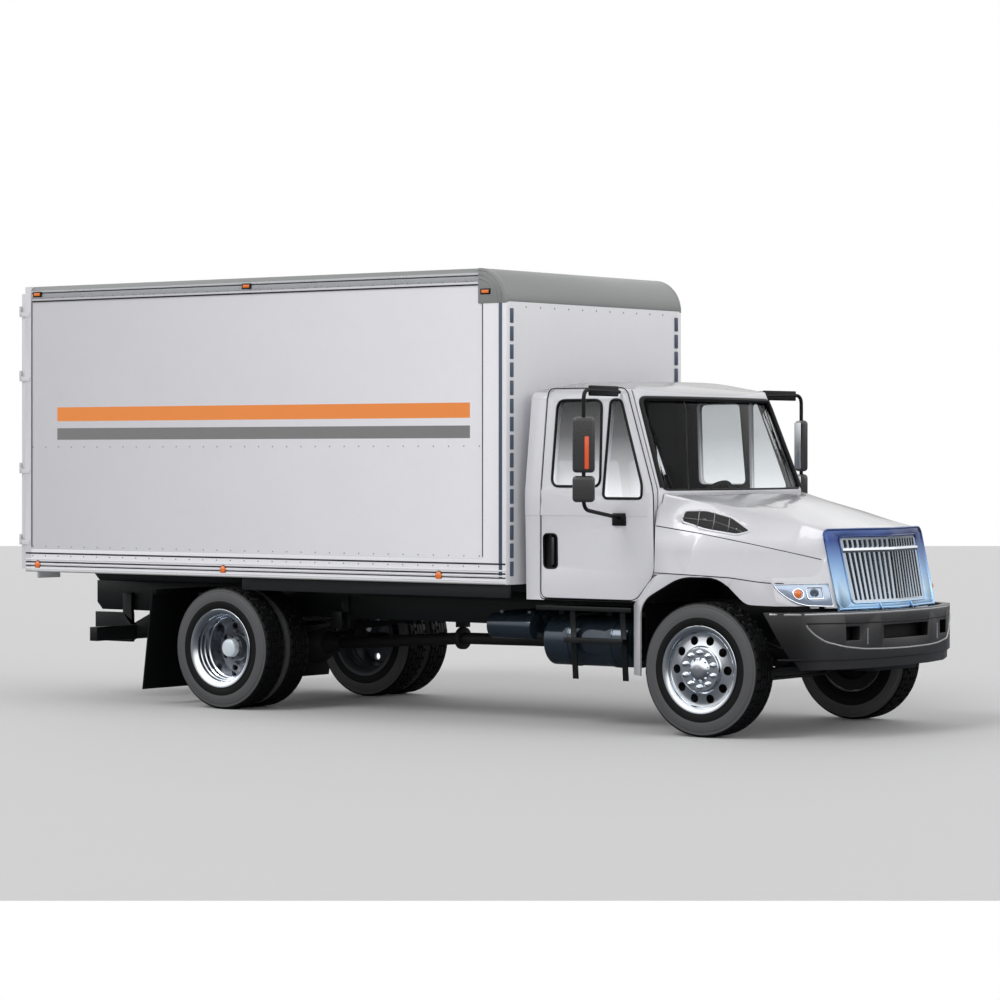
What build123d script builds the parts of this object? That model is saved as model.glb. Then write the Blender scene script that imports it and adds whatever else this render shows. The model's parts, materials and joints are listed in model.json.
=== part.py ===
from build123d import *
import math
import os

os.makedirs("parts", exist_ok=True)

# A conventional-cab box truck. Lengths are millimetres.
# While a piece is made, X runs forward from the front axle, Y to the truck's own left
# and Z up from the ground. save() then moves it so that the origin lies on the ground
# under the middle of the whole truck.

# Wheels and axles
tyre_radius = 505.0
tyre_width = 265.0
bead_radius = 287.0
wheelbase = 4745.0
front_wheel_y = 1086.0
rear_wheel_y = 1100.0
twin_spacing = 305.0
axle_z = tyre_radius
rear_axle_x = -wheelbase
kingpin_y = 925.0
kingpin_radius = 22.0
hub_bore = 60.0

# Chassis frame
rail_top = 1000.0
rail_depth = 254.0
rail_outer_y = 430.0
rail_flange = 80.0
rail_wall = 9.0
rail_front_x = 800.0
rail_bottom = rail_top - rail_depth

# Load body
body_width = 2440.0
body_length = 5220.0
body_front_x = -1792.0
body_bottom = 1098.0
body_top = 3570.0
wall_thick = 28.0
panel_inset = 6.0
rail_height_low = 199.0
rail_height_top = 105.0
post_width = 62.0
post_back_x = body_front_x - 228.0
cap_radius = 265.0
deck_top = 1190.0
rear_frame_depth = 70.0
rear_post_width = 74.0
rear_header = 130.0
leaf_thick = 42.0
door_gap = 6.0
lock_rod_radius = 13.0
lock_rod_standoff = 25.0
hinge_outset = 12.0
body_half = body_width / 2
body_rear_x = body_front_x - body_length
leaf_back_x = body_rear_x - door_gap - leaf_thick

# Cab
cab_back_x = -1725.0
cab_floor_z = 983.0
belt_z = 1828.0
cab_top_z = 2690.0
cab_half_low = 1045.0
cab_half_belt = 1065.0
cab_half_top = 986.0
cab_loft_z = 2700.0
firewall_x = -520.0
cowl_low_z = 1640.0
cab_wall = 55.0
header_z = 2540.0
glass_depth = 18.0
glass_thick = 6.0
shut_gap = 8.0
seat_gap = 0.3

# Hood and front end
hood_wall = 14.0
hood_rear_x = firewall_x + 15.0
fender_low_z = 972.0
flap_low_z = 438.0
hood_pivot_x = 985.0
hood_pivot_z = 952.0
bumper_front_x = 1075.0
bumper_top = 948.0
bumper_low = 522.0

# Ends of the whole truck and its origin
nose_x = bumper_front_x
tail_x = leaf_back_x - lock_rod_standoff - lock_rod_radius
origin_x = (nose_x + tail_x) / 2


def save(name, shape):
    """Move a finished piece to the truck's origin and write it."""
    export_step(Pos(-origin_x, 0, 0) * shape, "parts/" + name + ".step")


def block(x0, x1, y0, y1, z0, z1):
    middle = Pos((x0 + x1) / 2, (y0 + y1) / 2, (z0 + z1) / 2)
    return middle * Box(abs(x1 - x0), abs(y1 - y0), abs(z1 - z0))


def outline(points, radius=0):
    """A closed outline, with one corner radius or one for each corner."""
    if radius == 0:
        return make_face(Polyline(*points, close=True))
    return make_face(FilletPolyline(*points, radius=radius, close=True))


def across(points, y0, y1, radius=0):
    """An outline in X and Z, pushed across the truck from y0 to y1."""
    face = Plane.XZ * outline(points, radius)
    return extrude(Pos(0, y0, 0) * face, amount=y1 - y0, dir=(0, 1, 0))


def along(points, x0, x1, radius=0):
    """An outline in Y and Z, pushed along the truck from x0 to x1."""
    face = Plane.YZ * outline(points, radius)
    return extrude(Pos(x0, 0, 0) * face, amount=x1 - x0, dir=(1, 0, 0))


def upward(points, z0, z1, radius=0):
    """An outline in X and Y, pushed up from z0 to z1."""
    return extrude(Pos(0, 0, z0) * outline(points, radius), amount=z1 - z0, dir=(0, 0, 1))


def rod(start, end, radius):
    path = Vector(*end) - Vector(*start)
    place = Plane(origin=start, z_dir=path)
    return place * Cylinder(radius, path.length, align=(Align.CENTER, Align.CENTER, Align.MIN))


def both(shape):
    """A piece and its mirror image on the other side of the truck."""
    return shape + mirror(shape, about=Plane.XZ)


def other_side(shape):
    return mirror(shape, about=Plane.XZ)


def turned(profile, x, z):
    """A profile of (radius, y) pairs, turned about an axle along Y."""
    face = make_face(Polyline(*[(r, y) for r, y in profile], close=True))
    return Pos(x, 0, z) * revolve(face, Axis.Y)


# Tyres
# Each row of a profile is (radius, distance outward from the tyre's own middle).
tread_half = 106.0
shoulder_radius = 462.0
bead_half = 112.0


def tyre_profile(middle_y, plain_side):
    half = tyre_width / 2
    rows = [(bead_radius, bead_half)]
    if plain_side != 1:
        rows.append((shoulder_radius, half))
    rows.append((tyre_radius, tread_half if plain_side != 1 else half - 6))
    rows.append((tyre_radius, -tread_half if plain_side != -1 else 6 - half))
    if plain_side != -1:
        rows.append((shoulder_radius, -half))
    rows.append((bead_radius, -bead_half))
    return [(r, middle_y + y) for r, y in rows]


front_tyre = turned(tyre_profile(front_wheel_y, 0), 0, axle_z)
twin_outer = turned(tyre_profile(rear_wheel_y, -1), rear_axle_x, axle_z)
twin_inner = turned(tyre_profile(rear_wheel_y - twin_spacing, 1), rear_axle_x, axle_z)
rear_tyres = twin_outer + twin_inner
save("tyre_front_left", front_tyre)
save("tyre_front_right", other_side(front_tyre))
save("tyres_rear_left", rear_tyres)
save("tyres_rear_right", other_side(rear_tyres))

# Wheels
rim_radius = bead_radius - seat_gap
rim_wall = 13.0
flange_radius = 303.0
flange_start = 115.5
flange_end = 126.0
disc_thick = 14.0
front_disc_y = 62.0
front_hub_radius = 118.0
front_hub_end = 128.0
hand_hole_circle = 208.0
hand_hole_radius = 28.0
front_hand_holes = 10
drum_radius = 205.0
drum_length = 120.0


def barrel(middle_y, outer_side):
    """One rim's barrel, with its flange on the side that shows."""
    low = -flange_start
    high = flange_start
    rows = [(rim_radius, low), (rim_radius, high)]
    rows += [(flange_radius, high), (flange_radius, flange_end), (rim_radius - rim_wall, flange_end)]
    rows += [(rim_radius - rim_wall, low)]
    return [(r, middle_y + outer_side * y) for r, y in rows]


def front_wheel():
    rim = turned(barrel(front_wheel_y, 1), 0, axle_z)
    inner = rim_radius - rim_wall
    face_y = front_wheel_y + front_disc_y
    disc = [(hub_bore, face_y), (front_hub_radius, face_y), (inner + 2, face_y - 22)]
    disc += [(inner + 2, face_y - 22 - disc_thick), (hub_bore, face_y - disc_thick)]
    hub = [(0, face_y - 60), (0, front_wheel_y + front_hub_end)]
    hub += [(60, front_wheel_y + front_hub_end), (front_hub_radius, face_y + 8)]
    hub += [(front_hub_radius, face_y - 60)]
    wheel = rim + turned(disc, 0, axle_z) + turned(hub, 0, axle_z)
    for step in range(front_hand_holes):
        angle = 2 * math.pi * step / front_hand_holes
        x = hand_hole_circle * math.cos(angle)
        z = axle_z + hand_hole_circle * math.sin(angle)
        wheel -= rod((x, face_y - 90, z), (x, face_y + 40, z), hand_hole_radius)
    return wheel


def front_drum():
    """The brake drum behind the front wheel's disc, open to the axle."""
    end_y = front_wheel_y + front_disc_y - 60 - seat_gap
    start_y = end_y - drum_length
    rows = [(45, end_y), (drum_radius - 30, end_y), (drum_radius, end_y - 60), (drum_radius, start_y)]
    rows += [(drum_radius - 18, start_y), (drum_radius - 18, end_y - 60), (45, end_y - 20)]
    return turned(rows, 0, axle_z)


rear_hub_radius = 112.0
rear_hub_end = 40.0
rear_hand_circle = 185.0
rear_hand_holes = 8
rear_hand_radius = 30.0
joint_y = rear_wheel_y - twin_spacing / 2


def rear_wheel():
    """Twin rims back to back, with their discs met between the tyres."""
    wheel = turned(barrel(rear_wheel_y, 1), rear_axle_x, axle_z)
    wheel += turned(barrel(rear_wheel_y - twin_spacing, -1), rear_axle_x, axle_z)
    inner = rim_radius - rim_wall
    flat = rear_hand_circle + rear_hand_radius + 8
    bowl = [(hub_bore, joint_y + disc_thick), (flat, joint_y + disc_thick)]
    bowl += [(inner + 2, joint_y + 70), (inner + 2, joint_y + 52), (flat + 6, joint_y)]
    bowl += [(inner + 2, joint_y - 52), (inner + 2, joint_y - 70)]
    bowl += [(flat, joint_y - disc_thick), (hub_bore, joint_y - disc_thick)]
    wheel += turned(bowl, rear_axle_x, axle_z)
    hub_end = rear_wheel_y + rear_hub_end
    hub = [(0, joint_y), (0, hub_end), (80, hub_end), (rear_hub_radius, hub_end - 40)]
    hub += [(rear_hub_radius, joint_y)]
    wheel += turned(hub, rear_axle_x, axle_z)
    for step in range(rear_hand_holes):
        angle = 2 * math.pi * (step + 0.5) / rear_hand_holes
        x = rear_axle_x + rear_hand_circle * math.cos(angle)
        z = axle_z + rear_hand_circle * math.sin(angle)
        wheel -= rod((x, joint_y - 60, z), (x, joint_y + 60, z), rear_hand_radius)
    return wheel


left_wheel = front_wheel() + front_drum()
left_twin = rear_wheel()
save("rim_front_left", left_wheel)
save("rim_front_right", other_side(left_wheel))
save("rims_rear_left", left_twin)
save("rims_rear_right", other_side(left_twin))

# Steering knuckles and the tie rod
spindle_radius = 44.7
knuckle_arm_x = -190.0
tie_rod_y = kingpin_y
steer_arm_half = 26.0
tie_rod_radius = 18.0
king_boss_radius = 46.0
king_gap = 5.5
king_low = axle_z - 105
king_high = axle_z + 105
beam_eye_half = 60.0


def knuckle():
    """The fork round the beam's eye, its spindle and its steering arm."""
    spindle_end = front_wheel_y + front_disc_y - 60 - seat_gap - 8
    fork_x = king_boss_radius
    fork = rod((0, kingpin_y, axle_z + beam_eye_half + king_gap), (0, kingpin_y, king_high), fork_x)
    fork += rod((0, kingpin_y, king_low), (0, kingpin_y, axle_z - beam_eye_half - king_gap), fork_x)
    fork += block(-40, 40, kingpin_y + 52, kingpin_y + 78, king_low, king_high)
    fork += block(-40, 40, kingpin_y, kingpin_y + 60, axle_z + beam_eye_half + king_gap, king_high)
    fork += block(-40, 40, kingpin_y, kingpin_y + 60, king_low, axle_z - beam_eye_half - king_gap)
    fork += rod((0, kingpin_y + 70, axle_z), (0, spindle_end, axle_z), spindle_radius)
    fork += block(knuckle_arm_x - 30, -20, kingpin_y - steer_arm_half, kingpin_y + steer_arm_half,
                  king_low, king_low + 24)
    fork += rod((0, kingpin_y, king_low), (0, kingpin_y, king_high), kingpin_radius)
    return fork


left_knuckle = knuckle()
save("knuckle_left", left_knuckle)
save("knuckle_right", other_side(left_knuckle))

tie_z = king_low - seat_gap - tie_rod_radius
tie_rod = rod((knuckle_arm_x, -tie_rod_y, tie_z), (knuckle_arm_x, tie_rod_y, tie_z), tie_rod_radius)
save("tie_rod", tie_rod)

# Front axle beam, leaf springs, rear axle and driveshaft
front_spring_y = 392.0
rear_spring_y = 490.0
spring_width = 76.0
spring_thick = 58.0
beam_top = 470.0
spring_seat_front = beam_top + 16
rear_housing_radius = 78.0
rear_half_span = 640.0


def front_axle():
    half = spring_width / 2 + 20
    drop = [(-kingpin_y + 60, axle_z + 45), (-kingpin_y + 60, axle_z - 45)]
    drop += [(-front_spring_y - 90, beam_top - 90), (front_spring_y + 90, beam_top - 90)]
    drop += [(kingpin_y - 60, axle_z - 45), (kingpin_y - 60, axle_z + 45)]
    drop += [(front_spring_y + 90, beam_top), (-front_spring_y - 90, beam_top)]
    flanges = along(drop, -48, 48)
    web = [(-kingpin_y + 130, axle_z + 24), (-kingpin_y + 130, axle_z - 24)]
    web += [(-front_spring_y - 80, beam_top - 70), (front_spring_y + 80, beam_top - 70)]
    web += [(kingpin_y - 130, axle_z - 24), (kingpin_y - 130, axle_z + 24)]
    web += [(front_spring_y + 80, beam_top - 20), (-front_spring_y - 80, beam_top - 20)]
    beam = flanges - along(web, 14, 60) - along(web, -60, -14)
    eye_low = axle_z - beam_eye_half
    eye_high = axle_z + beam_eye_half
    for side in (-1, 1):
        beam += rod((0, side * kingpin_y, eye_low), (0, side * kingpin_y, eye_high), king_boss_radius)
        beam += block(-42, 42, side * (kingpin_y - 70), side * kingpin_y, axle_z - 45, axle_z + 45)
        beam += block(-70, 70, side * front_spring_y - half, side * front_spring_y + half,
                      beam_top - 20, spring_seat_front)
        beam -= rod((0, side * kingpin_y, eye_low - 5), (0, side * kingpin_y, eye_high + 5),
                    kingpin_radius + seat_gap)
    return beam


save("front_axle", front_axle())


def spring_arc(middle_x, half_span, middle_z, rise, thick, y, width):
    """A pack of leaves as one arched strip, lowest in the middle."""
    low = ThreePointArc((middle_x - half_span, middle_z + rise), (middle_x, middle_z),
                        (middle_x + half_span, middle_z + rise))
    high = ThreePointArc((middle_x + half_span, middle_z + rise + 14), (middle_x, middle_z + thick),
                         (middle_x - half_span, middle_z + rise + 14))
    ends = [Line(low @ 1, high @ 0), Line(high @ 1, low @ 0)]
    face = Plane.XZ * make_face([low, high] + ends)
    return extrude(Pos(0, y - width / 2, 0) * face, amount=width, dir=(0, 1, 0))


front_half_span = 560.0
rear_half_span_x = 680.0
front_spring_low = spring_seat_front + seat_gap
rear_spring_low = axle_z + rear_housing_radius + 22
front_rise = rail_bottom - 70 - front_spring_low
rear_rise = rail_bottom - 40 - rear_spring_low


def springs():
    """Four packs of leaves, with an eye and a hanger at each end."""
    whole = Part()
    # columns: middle x, half span, lowest z, rise of the ends, spring y, hanger's inner y
    rows = [(0, front_half_span, front_spring_low, front_rise, front_spring_y),
            (rear_axle_x, rear_half_span_x, rear_spring_low, rear_rise, rear_spring_y)]
    for x, half, low, rise, y in rows:
        pack = spring_arc(x, half, low, rise, spring_thick, y, spring_width)
        for end in (-1, 1):
            eye_x = x + end * half
            eye_z = low + rise + 7
            pack += rod((eye_x, y - spring_width / 2, eye_z), (eye_x, y + spring_width / 2, eye_z), 26)
        for clamp in (-1, 1):
            clamp_x = x + clamp * 62
            pack += block(clamp_x - 9, clamp_x + 9, y - spring_width / 2 - 9, y + spring_width / 2 + 9,
                          low + 2, low + spring_thick + 16)
        whole += both(pack)
    return whole


save("leaf_springs", springs())


def rear_axle():
    housing = rod((rear_axle_x, -rear_half_span, axle_z), (rear_axle_x, rear_half_span, axle_z),
                  rear_housing_radius)
    bowl = Pos(rear_axle_x, 0, axle_z) * Sphere(188)
    bowl &= block(rear_axle_x - 150, rear_axle_x + 150, -200, 200, axle_z - 190, axle_z + 180)
    housing += bowl
    nose = Plane(origin=(rear_axle_x + 100, 0, axle_z), z_dir=(1, 0, 0))
    housing += nose * Cone(120, 62, 200, align=(Align.CENTER, Align.CENTER, Align.MIN))
    for side in (-1, 1):
        y = side * rear_spring_y
        housing += block(rear_axle_x - 80, rear_axle_x + 80, y - 48, y + 48, axle_z - 20,
                         rear_spring_low - seat_gap)
        housing += rod((rear_axle_x, side * 560, axle_z), (rear_axle_x, side * 700, axle_z), 62)
        housing += rod((rear_axle_x, side * 700, axle_z), (rear_axle_x, side * (joint_y - seat_gap), axle_z), 44)
    return housing


save("rear_axle", rear_axle())

shaft_z = 548.0
shaft_radius = 50.0
shaft_rear_x = rear_axle_x + 300
shaft_front_x = -1180.0
centre_bearing_x = -3150.0


def driveshaft():
    """A two-piece shaft with yokes at its ends and a carrier in the middle."""
    middle = (centre_bearing_x, 0, shaft_z + 40)
    rear = (shaft_rear_x - 10, 0, axle_z)
    front = (shaft_front_x + 10, 0, shaft_z + 60)
    shaft = rod(rear, middle, shaft_radius)
    shaft += Pos(*middle) * Rot(0, 90, 0) * Cylinder(92, 46)
    shaft += rod(middle, front, shaft_radius - 2)
    return shaft & block(shaft_rear_x + seat_gap, shaft_front_x, -200, 200, 300, 800)


save("driveshaft", driveshaft())

# Frame rails and crossmembers
rail_end_x = -6905.0
rail_corner = 64.0


def channel(side):
    """One rail: a C section, open towards the middle, its rear lower corner cut off."""
    kick_x = rail_end_x + rail_corner
    kick_z = rail_bottom + rail_corner
    side_view = [(rail_front_x, rail_bottom + 40), (rail_front_x, rail_top), (rail_end_x, rail_top)]
    side_view += [(rail_end_x, kick_z), (kick_x, rail_bottom), (rail_front_x - 160, rail_bottom)]
    rail = across(side_view, rail_outer_y - rail_flange, rail_outer_y)
    hollow = [(rail_front_x + 5, rail_bottom + 40 + rail_wall), (rail_front_x + 5, rail_top - rail_wall)]
    hollow += [(rail_end_x - 5, rail_top - rail_wall), (rail_end_x - 5, kick_z + rail_wall)]
    hollow += [(kick_x, rail_bottom + rail_wall), (rail_front_x - 160, rail_bottom + rail_wall)]
    rail -= across(hollow, rail_outer_y - rail_flange - 5, rail_outer_y - rail_wall)
    return rail if side > 0 else other_side(rail)


save("frame_rails", channel(1) + channel(-1))

cab_tunnel_top = rail_top + 10
hinge_arm_y = 206.0
hinge_pin_radius = 8.0
pintle_z = rail_top - 58
pintle_wide = 85.7
pintle_high = 44.5
pintle_hole_radius = 7.0
crossmember_x = (660.0, -1290.0, -2300.0, -3150.0, -3950.0, -5500.0, -6300.0)


def crossmembers():
    """Channels between the rails, seated on the rails' webs inside their flanges."""
    whole = Part()
    reach = rail_outer_y - rail_wall - seat_gap
    low = rail_bottom + rail_wall + 42
    high = rail_top - rail_wall - 12
    for x in crossmember_x:
        member = block(x - 40, x + 40, -reach, reach, low, high)
        member -= block(x - 32, x + 45, -reach + 60, reach - 60, low + 8, high - 8)
        whole += member
    bearing = block(centre_bearing_x - 30, centre_bearing_x + 30, -60, 60, shaft_z + 40 + 92 + seat_gap, low)
    whole += bearing
    # spring hangers outside and under the rails: columns are x, y, lowest z
    hangers = [(front_half_span, front_spring_y, front_spring_low + front_rise - 40),
               (-front_half_span, front_spring_y, front_spring_low + front_rise - 40)]
    for x, y, low in hangers:
        outer = spring_width / 2 + seat_gap
        hanger = block(x - 45, x + 45, y - outer - 12, y - outer, low, rail_bottom - seat_gap)
        hanger += block(x - 45, x + 45, y + outer, y + outer + 12, low, rail_bottom - seat_gap)
        hanger += block(x - 45, x + 45, y - outer - 12, y + outer + 12, rail_bottom - 14, rail_bottom - seat_gap)
        whole += both(hanger)
    for end in (-1, 1):
        x = rear_axle_x + end * rear_half_span_x
        eye_low = rear_spring_low + rear_rise - 40
        inner = rail_outer_y + seat_gap
        hanger = block(x - 55, x + 55, inner, rear_spring_y - spring_width / 2 - seat_gap,
                       eye_low, rail_top - 60)
        hanger += block(x - 55, x + 55, inner, rear_spring_y + spring_width / 2 + 14,
                        rail_bottom + 40, rail_bottom + 56)
        hanger += block(x - 55, x + 55, rear_spring_y + spring_width / 2 + seat_gap,
                        rear_spring_y + spring_width / 2 + 14, eye_low, rail_bottom + 56)
        whole += both(hanger)
    # cab pads on the rails, and the arms that carry the hood's hinge pins
    for x in (-600.0, -1640.0):
        whole += both(block(x - 35, x + 35, rail_outer_y - 70, rail_outer_y - 5, rail_top,
                            cab_tunnel_top - seat_gap))
    arm = [(crossmember_x[0] - 34, 850), (crossmember_x[0] - 34, 950), (hood_pivot_x, hood_pivot_z + 13),
           (hood_pivot_x + 13, hood_pivot_z), (hood_pivot_x, hood_pivot_z - 13), (820, 850)]
    hinge = across(arm, hinge_arm_y, hinge_arm_y + 12)
    hinge += rod((hood_pivot_x, hinge_arm_y, hood_pivot_z), (hood_pivot_x, hinge_arm_y + 30, hood_pivot_z),
                 hinge_pin_radius)
    whole += both(hinge)
    # end plate between the rails, drilled for a pintle hook
    plate = block(rail_end_x, rail_end_x + 12, -reach, reach, rail_top - 104, rail_top - rail_wall - 4)
    for side in (-1, 1):
        for z in (pintle_z - pintle_high / 2, pintle_z + pintle_high / 2):
            y = side * pintle_wide / 2
            plate -= rod((rail_end_x - 5, y, z), (rail_end_x + 20, y, z), pintle_hole_radius)
    whole += plate
    return whole


save("frame_crossmembers", crossmembers())

# Engine and gearbox as one plain block, and the radiator in front of it
engine = block(-420, 540, -300, 300, 700, 1440) + block(-1150, -420, -190, 190, 640, 960)
engine += both(block(60, 160, 290, rail_outer_y - rail_wall - seat_gap, 850, 890))
engine += rod((-1150, 0, shaft_z + 62), (shaft_front_x + seat_gap, 0, shaft_z + 62), 60)
save("engine_block", engine)
radiator = block(630, 690, -380, 380, rail_top + seat_gap, 1430)
save("radiator", radiator)

# Tanks, steps, bumpers, mudflaps
tank_rear_x = -1600.0
tank_front_x = -790.0
tank_y = 800.0
tank_z = 660.0
tank_radius = 190.0
step_y = 1010.0


def tanks():
    """The fuel tank with its straps on the right, and a twin air tank behind it."""
    tank = rod((tank_rear_x, -tank_y, tank_z), (tank_front_x, -tank_y, tank_z), tank_radius)
    for x in (-1400.0, -990.0):
        tank += rod((x - 28, -tank_y, tank_z), (x + 28, -tank_y, tank_z), tank_radius + 6)
        tank += block(x - 28, x + 28, -tank_y, -rail_outer_y - seat_gap, tank_z + 100, tank_z + 196)
    small = rod((-2180, -tank_y - 60, 760), (-1760, -tank_y - 60, 760), 100)
    small += rod((-2180, -tank_y + 160, 760), (-1760, -tank_y + 160, 760), 100)
    small += block(-2120, -2090, -tank_y - 60, -rail_outer_y - seat_gap, 770, 880)
    small += block(-1850, -1820, -tank_y - 60, -rail_outer_y - seat_gap, 770, 880)
    battery = block(-1500, -900, rail_outer_y + seat_gap, 980, 560, 850)
    return tank + small + battery


save("side_tanks", tanks())


def steps():
    """Two treads and their hangers in front of the tank, alike on both sides."""
    upper = block(-1640, -740, step_y - 210, step_y + 30, 905, 940)
    lower = block(-1330, -780, step_y + 5, step_y + 90, 660, 700)
    ladder = upper + lower
    for x in (-1300.0, -830.0):
        strap = [(x - 25, 905), (x + 25, 905), (x + 55, 380), (x + 5, 380)]
        ladder += across(strap, step_y + 5, step_y + 17)
    for x in (-1560.0, -1100.0, -780.0):
        arm = block(x - 25, x + 25, rail_outer_y + seat_gap, step_y - 200, 860, 925)
        ladder += arm
    return both(ladder)


save("cab_steps", steps())


# The bumper from above: outer x and y, then inner x and y, from the middle outwards
bumper_rows = [(bumper_front_x, 0, 1012, 0), (1063, 380, 1001, 372), (985, 760, 926, 732),
               (830, 1090, 780, 1050), (700, 1185, 672, 1140), (560, 1218, 560, 1194)]


def front_bumper():
    """A swept bar with a stepped lower lip and open slots in its middle."""
    front = [row[:2] for row in bumper_rows]
    back = [row[2:] for row in bumper_rows]
    bar = upward(front + back[::-1], bumper_low + 70, bumper_top)
    lip_front = [(x - 20, y - 8 if y else 0) for x, y in front[:-1]] + [front[-1]]
    bar += upward(lip_front + back[::-1], bumper_low, bumper_low + 72)
    bar = both(bar)
    end_cut = [(300, 960), (548, 960), (800, bumper_low - 1), (800, 300), (300, 300)]
    bar -= both(across(end_cut, 1000, 1300))
    slot_low = 735.0
    slot_high = 838.0
    for y0, y1 in ((-745, -600), (-330, 330), (600, 745)):
        bar -= block(880, 1120, y0, y1, slot_low, slot_high)
    for side in (-1, 1):
        bar += block(rail_front_x + seat_gap, bumper_front_x - 62, side * 350, side * 430, 790, 940)
    return bar


save("front_bumper", front_bumper())


def rear_bumper():
    """The underride bar behind the rear wheels, on braced plates beside the rails."""
    bar = block(-6470, -6385, -980, 980, 500, 620)
    brace = [(-6580, 565), (-6580, 470), (-6480, 470), (-5900, 765), (-5900, 880)]
    plate = block(-6890, -6455, rail_outer_y + seat_gap, rail_outer_y + 40, 470, 726)
    plate += block(-6560, -6460, rail_outer_y + seat_gap, rail_outer_y + 40, 700, 900)
    plate += across(brace, rail_outer_y + seat_gap, rail_outer_y + 40)
    return bar + both(plate)


save("rear_bumper", rear_bumper())

flap_x = -5513.0
flap_lean = 107.0


def mudflaps():
    foot_x = flap_x - flap_lean
    flap = across([(flap_x - 8, 960), (flap_x + 8, 960), (foot_x + 8, 130), (foot_x - 8, 130)], 640, 1225)
    flap += block(flap_x - 30, flap_x + 30, rail_outer_y + seat_gap, 1210, 930, 975)
    splash = block(-608, -600, rail_outer_y + 20, 1036, 440, cab_floor_z - seat_gap)
    return both(flap) + both(splash)


save("mudflaps", mudflaps())

# Cab
# Each row: height, back x, half width, side's front x, screen corner x and y, screen middle x
belt_row = (belt_z, cab_back_x, cab_half_belt, -580.0, -482.0, 1000.0, -355.0)
top_row = (cab_loft_z, cab_back_x + 20, cab_half_top, -900.0, -812.0, 920.0, -705.0)


def cab_section(row, inset, z=None):
    height, back, half, side_x, corner_x, corner_y, middle_x = row
    height = height if z is None else z
    half -= inset
    back += inset
    side_x -= inset * 0.6
    corner_x -= inset * 1.1
    corner_y -= inset * 0.6
    middle_x -= inset * 1.1
    bow = ThreePointArc((corner_x, -corner_y), (middle_x, 0), (corner_x, corner_y))
    rest = Polyline((corner_x, corner_y), (side_x, half), (back, half), (back, -half),
                    (side_x, -half), (corner_x, -corner_y))
    return Pos(0, 0, height) * make_face([bow, rest])


def cab_volume(inset):
    """The cab's whole outer form, or the same form drawn in by a wall's thickness."""
    half = cab_half_low - inset
    rows = []
    for z, width in ((cab_floor_z + inset, half), (belt_z, cab_half_belt - inset)):
        corners = [(cab_back_x + inset, -width), (firewall_x - inset, -width)]
        corners += [(firewall_x - inset, width), (cab_back_x + inset, width)]
        rows.append(Pos(0, 0, z) * outline(corners))
    lower = loft(rows, ruled=True)
    cowl = loft([cab_section(belt_row, inset, cowl_low_z + inset), cab_section(belt_row, inset)],
                ruled=True)
    upper = loft([cab_section(belt_row, inset), cab_section(top_row, inset)], ruled=True)
    top = cab_top_z - inset
    slope = (cab_half_belt - cab_half_top) / (cab_loft_z - belt_z)
    edge_low = cab_half_belt + (belt_z - 900) * slope + 2 - inset
    edge_high = cab_half_belt - (2600 - belt_z) * slope + 2 - inset
    front_view = [(-edge_low, 900), (-edge_high, 2600 - inset), (-500, top), (500, top),
                  (edge_high, 2600 - inset), (edge_low, 900)]
    front_radii = [0, 95 - inset * 0.6, 1400, 1400, 95 - inset * 0.6, 0]
    upper &= along(front_view, cab_back_x - 50, 0, front_radii)
    side_view = [(cab_back_x + inset, 900), (cab_back_x + inset, 2580), (-1560, top - 6),
                 (-1000, top), (-690, 2590 - inset), (200, 2150), (200, 900)]
    upper &= across(side_view, -1200, 1200, [0, 70, 300, 600, 60, 0, 0])
    return lower + cowl + upper


cab_outer = cab_volume(0)
cab_shell = cab_outer - cab_volume(cab_wall)
glass_skin = cab_volume(glass_depth) - cab_volume(glass_depth + glass_thick)

# Door and window outlines in the side view, as (x, z)
door_front_x = -514.0
door_low_z = 995.0
door_points = [(-1590, door_low_z), (-1556, 2628), (-846, 2628), (-800, 2600), (door_front_x, 1835),
               (door_front_x, 1199), (-689, door_low_z)]
door_radii = [30, 70, 20, 40, 30, 40, 30]
main_window = [(-1470, 1868), (-1452, 2530), (-1040, 2530), (-1016, 1868)]
vent_window = [(-978, 1780), (-950, 2528), (-862, 2528), (-632, 1878), (-632, 1780)]
screen_points = [(-985, 1842), (-912, header_z), (912, header_z), (985, 1842)]


def grown(points, amount, radius):
    face = Plane.XZ * offset(outline(points, radius), amount=amount)
    start_y = door_inner_y - amount
    return extrude(Pos(0, start_y, 0) * face, amount=1200 - start_y, dir=(0, 1, 0))


door_inner_y = 925.0
door_prism = across(door_points, door_inner_y, 1200, door_radii)
door_opening = grown(door_points, shut_gap, door_radii)
windows = across(main_window, 700, 1200, 45) + across(vent_window, 700, 1200, 22)
screen_prism = along(screen_points, -1000, -200, 50)

cab_body = cab_shell - door_opening - other_side(door_opening)
cab_body -= screen_prism & block(-1000, -200, -1100, 1100, 1842, header_z)

floor_top = cab_floor_z + cab_wall
pillar_x = -1555.0
tunnel_half = rail_outer_y + 30
cab_body -= block(-1800, 0, -tunnel_half, tunnel_half, 900, cab_tunnel_top)
cab_floor = cab_body & block(pillar_x, 0, -1200, 1200, 900, floor_top)
cab_back = cab_body & block(-1900, pillar_x, -1200, 1200, 900, header_z)
cab_roof = cab_body & block(-1900, 0, -1200, 1200, header_z, 2800)
cab_front = cab_body & block(pillar_x, 0, -1200, 1200, floor_top, header_z)
striker_z = 1400.0
striker_gap = 0.6
door_edge_x = -1590 + 34 * (striker_z - door_low_z) / (2628 - door_low_z)
striker = block(door_edge_x - shut_gap - 20, door_edge_x - striker_gap, 1036, 1048, striker_z - 25, striker_z)
cab_back += both(striker)
save("cab_floor", cab_floor)
save("cab_back", cab_back)
save("cab_roof", cab_roof)
save("cab_front", cab_front)

windscreen = glass_skin & screen_prism & block(-1000, -200, -1100, 1100, 1842, header_z)
save("windscreen", windscreen)

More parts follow.
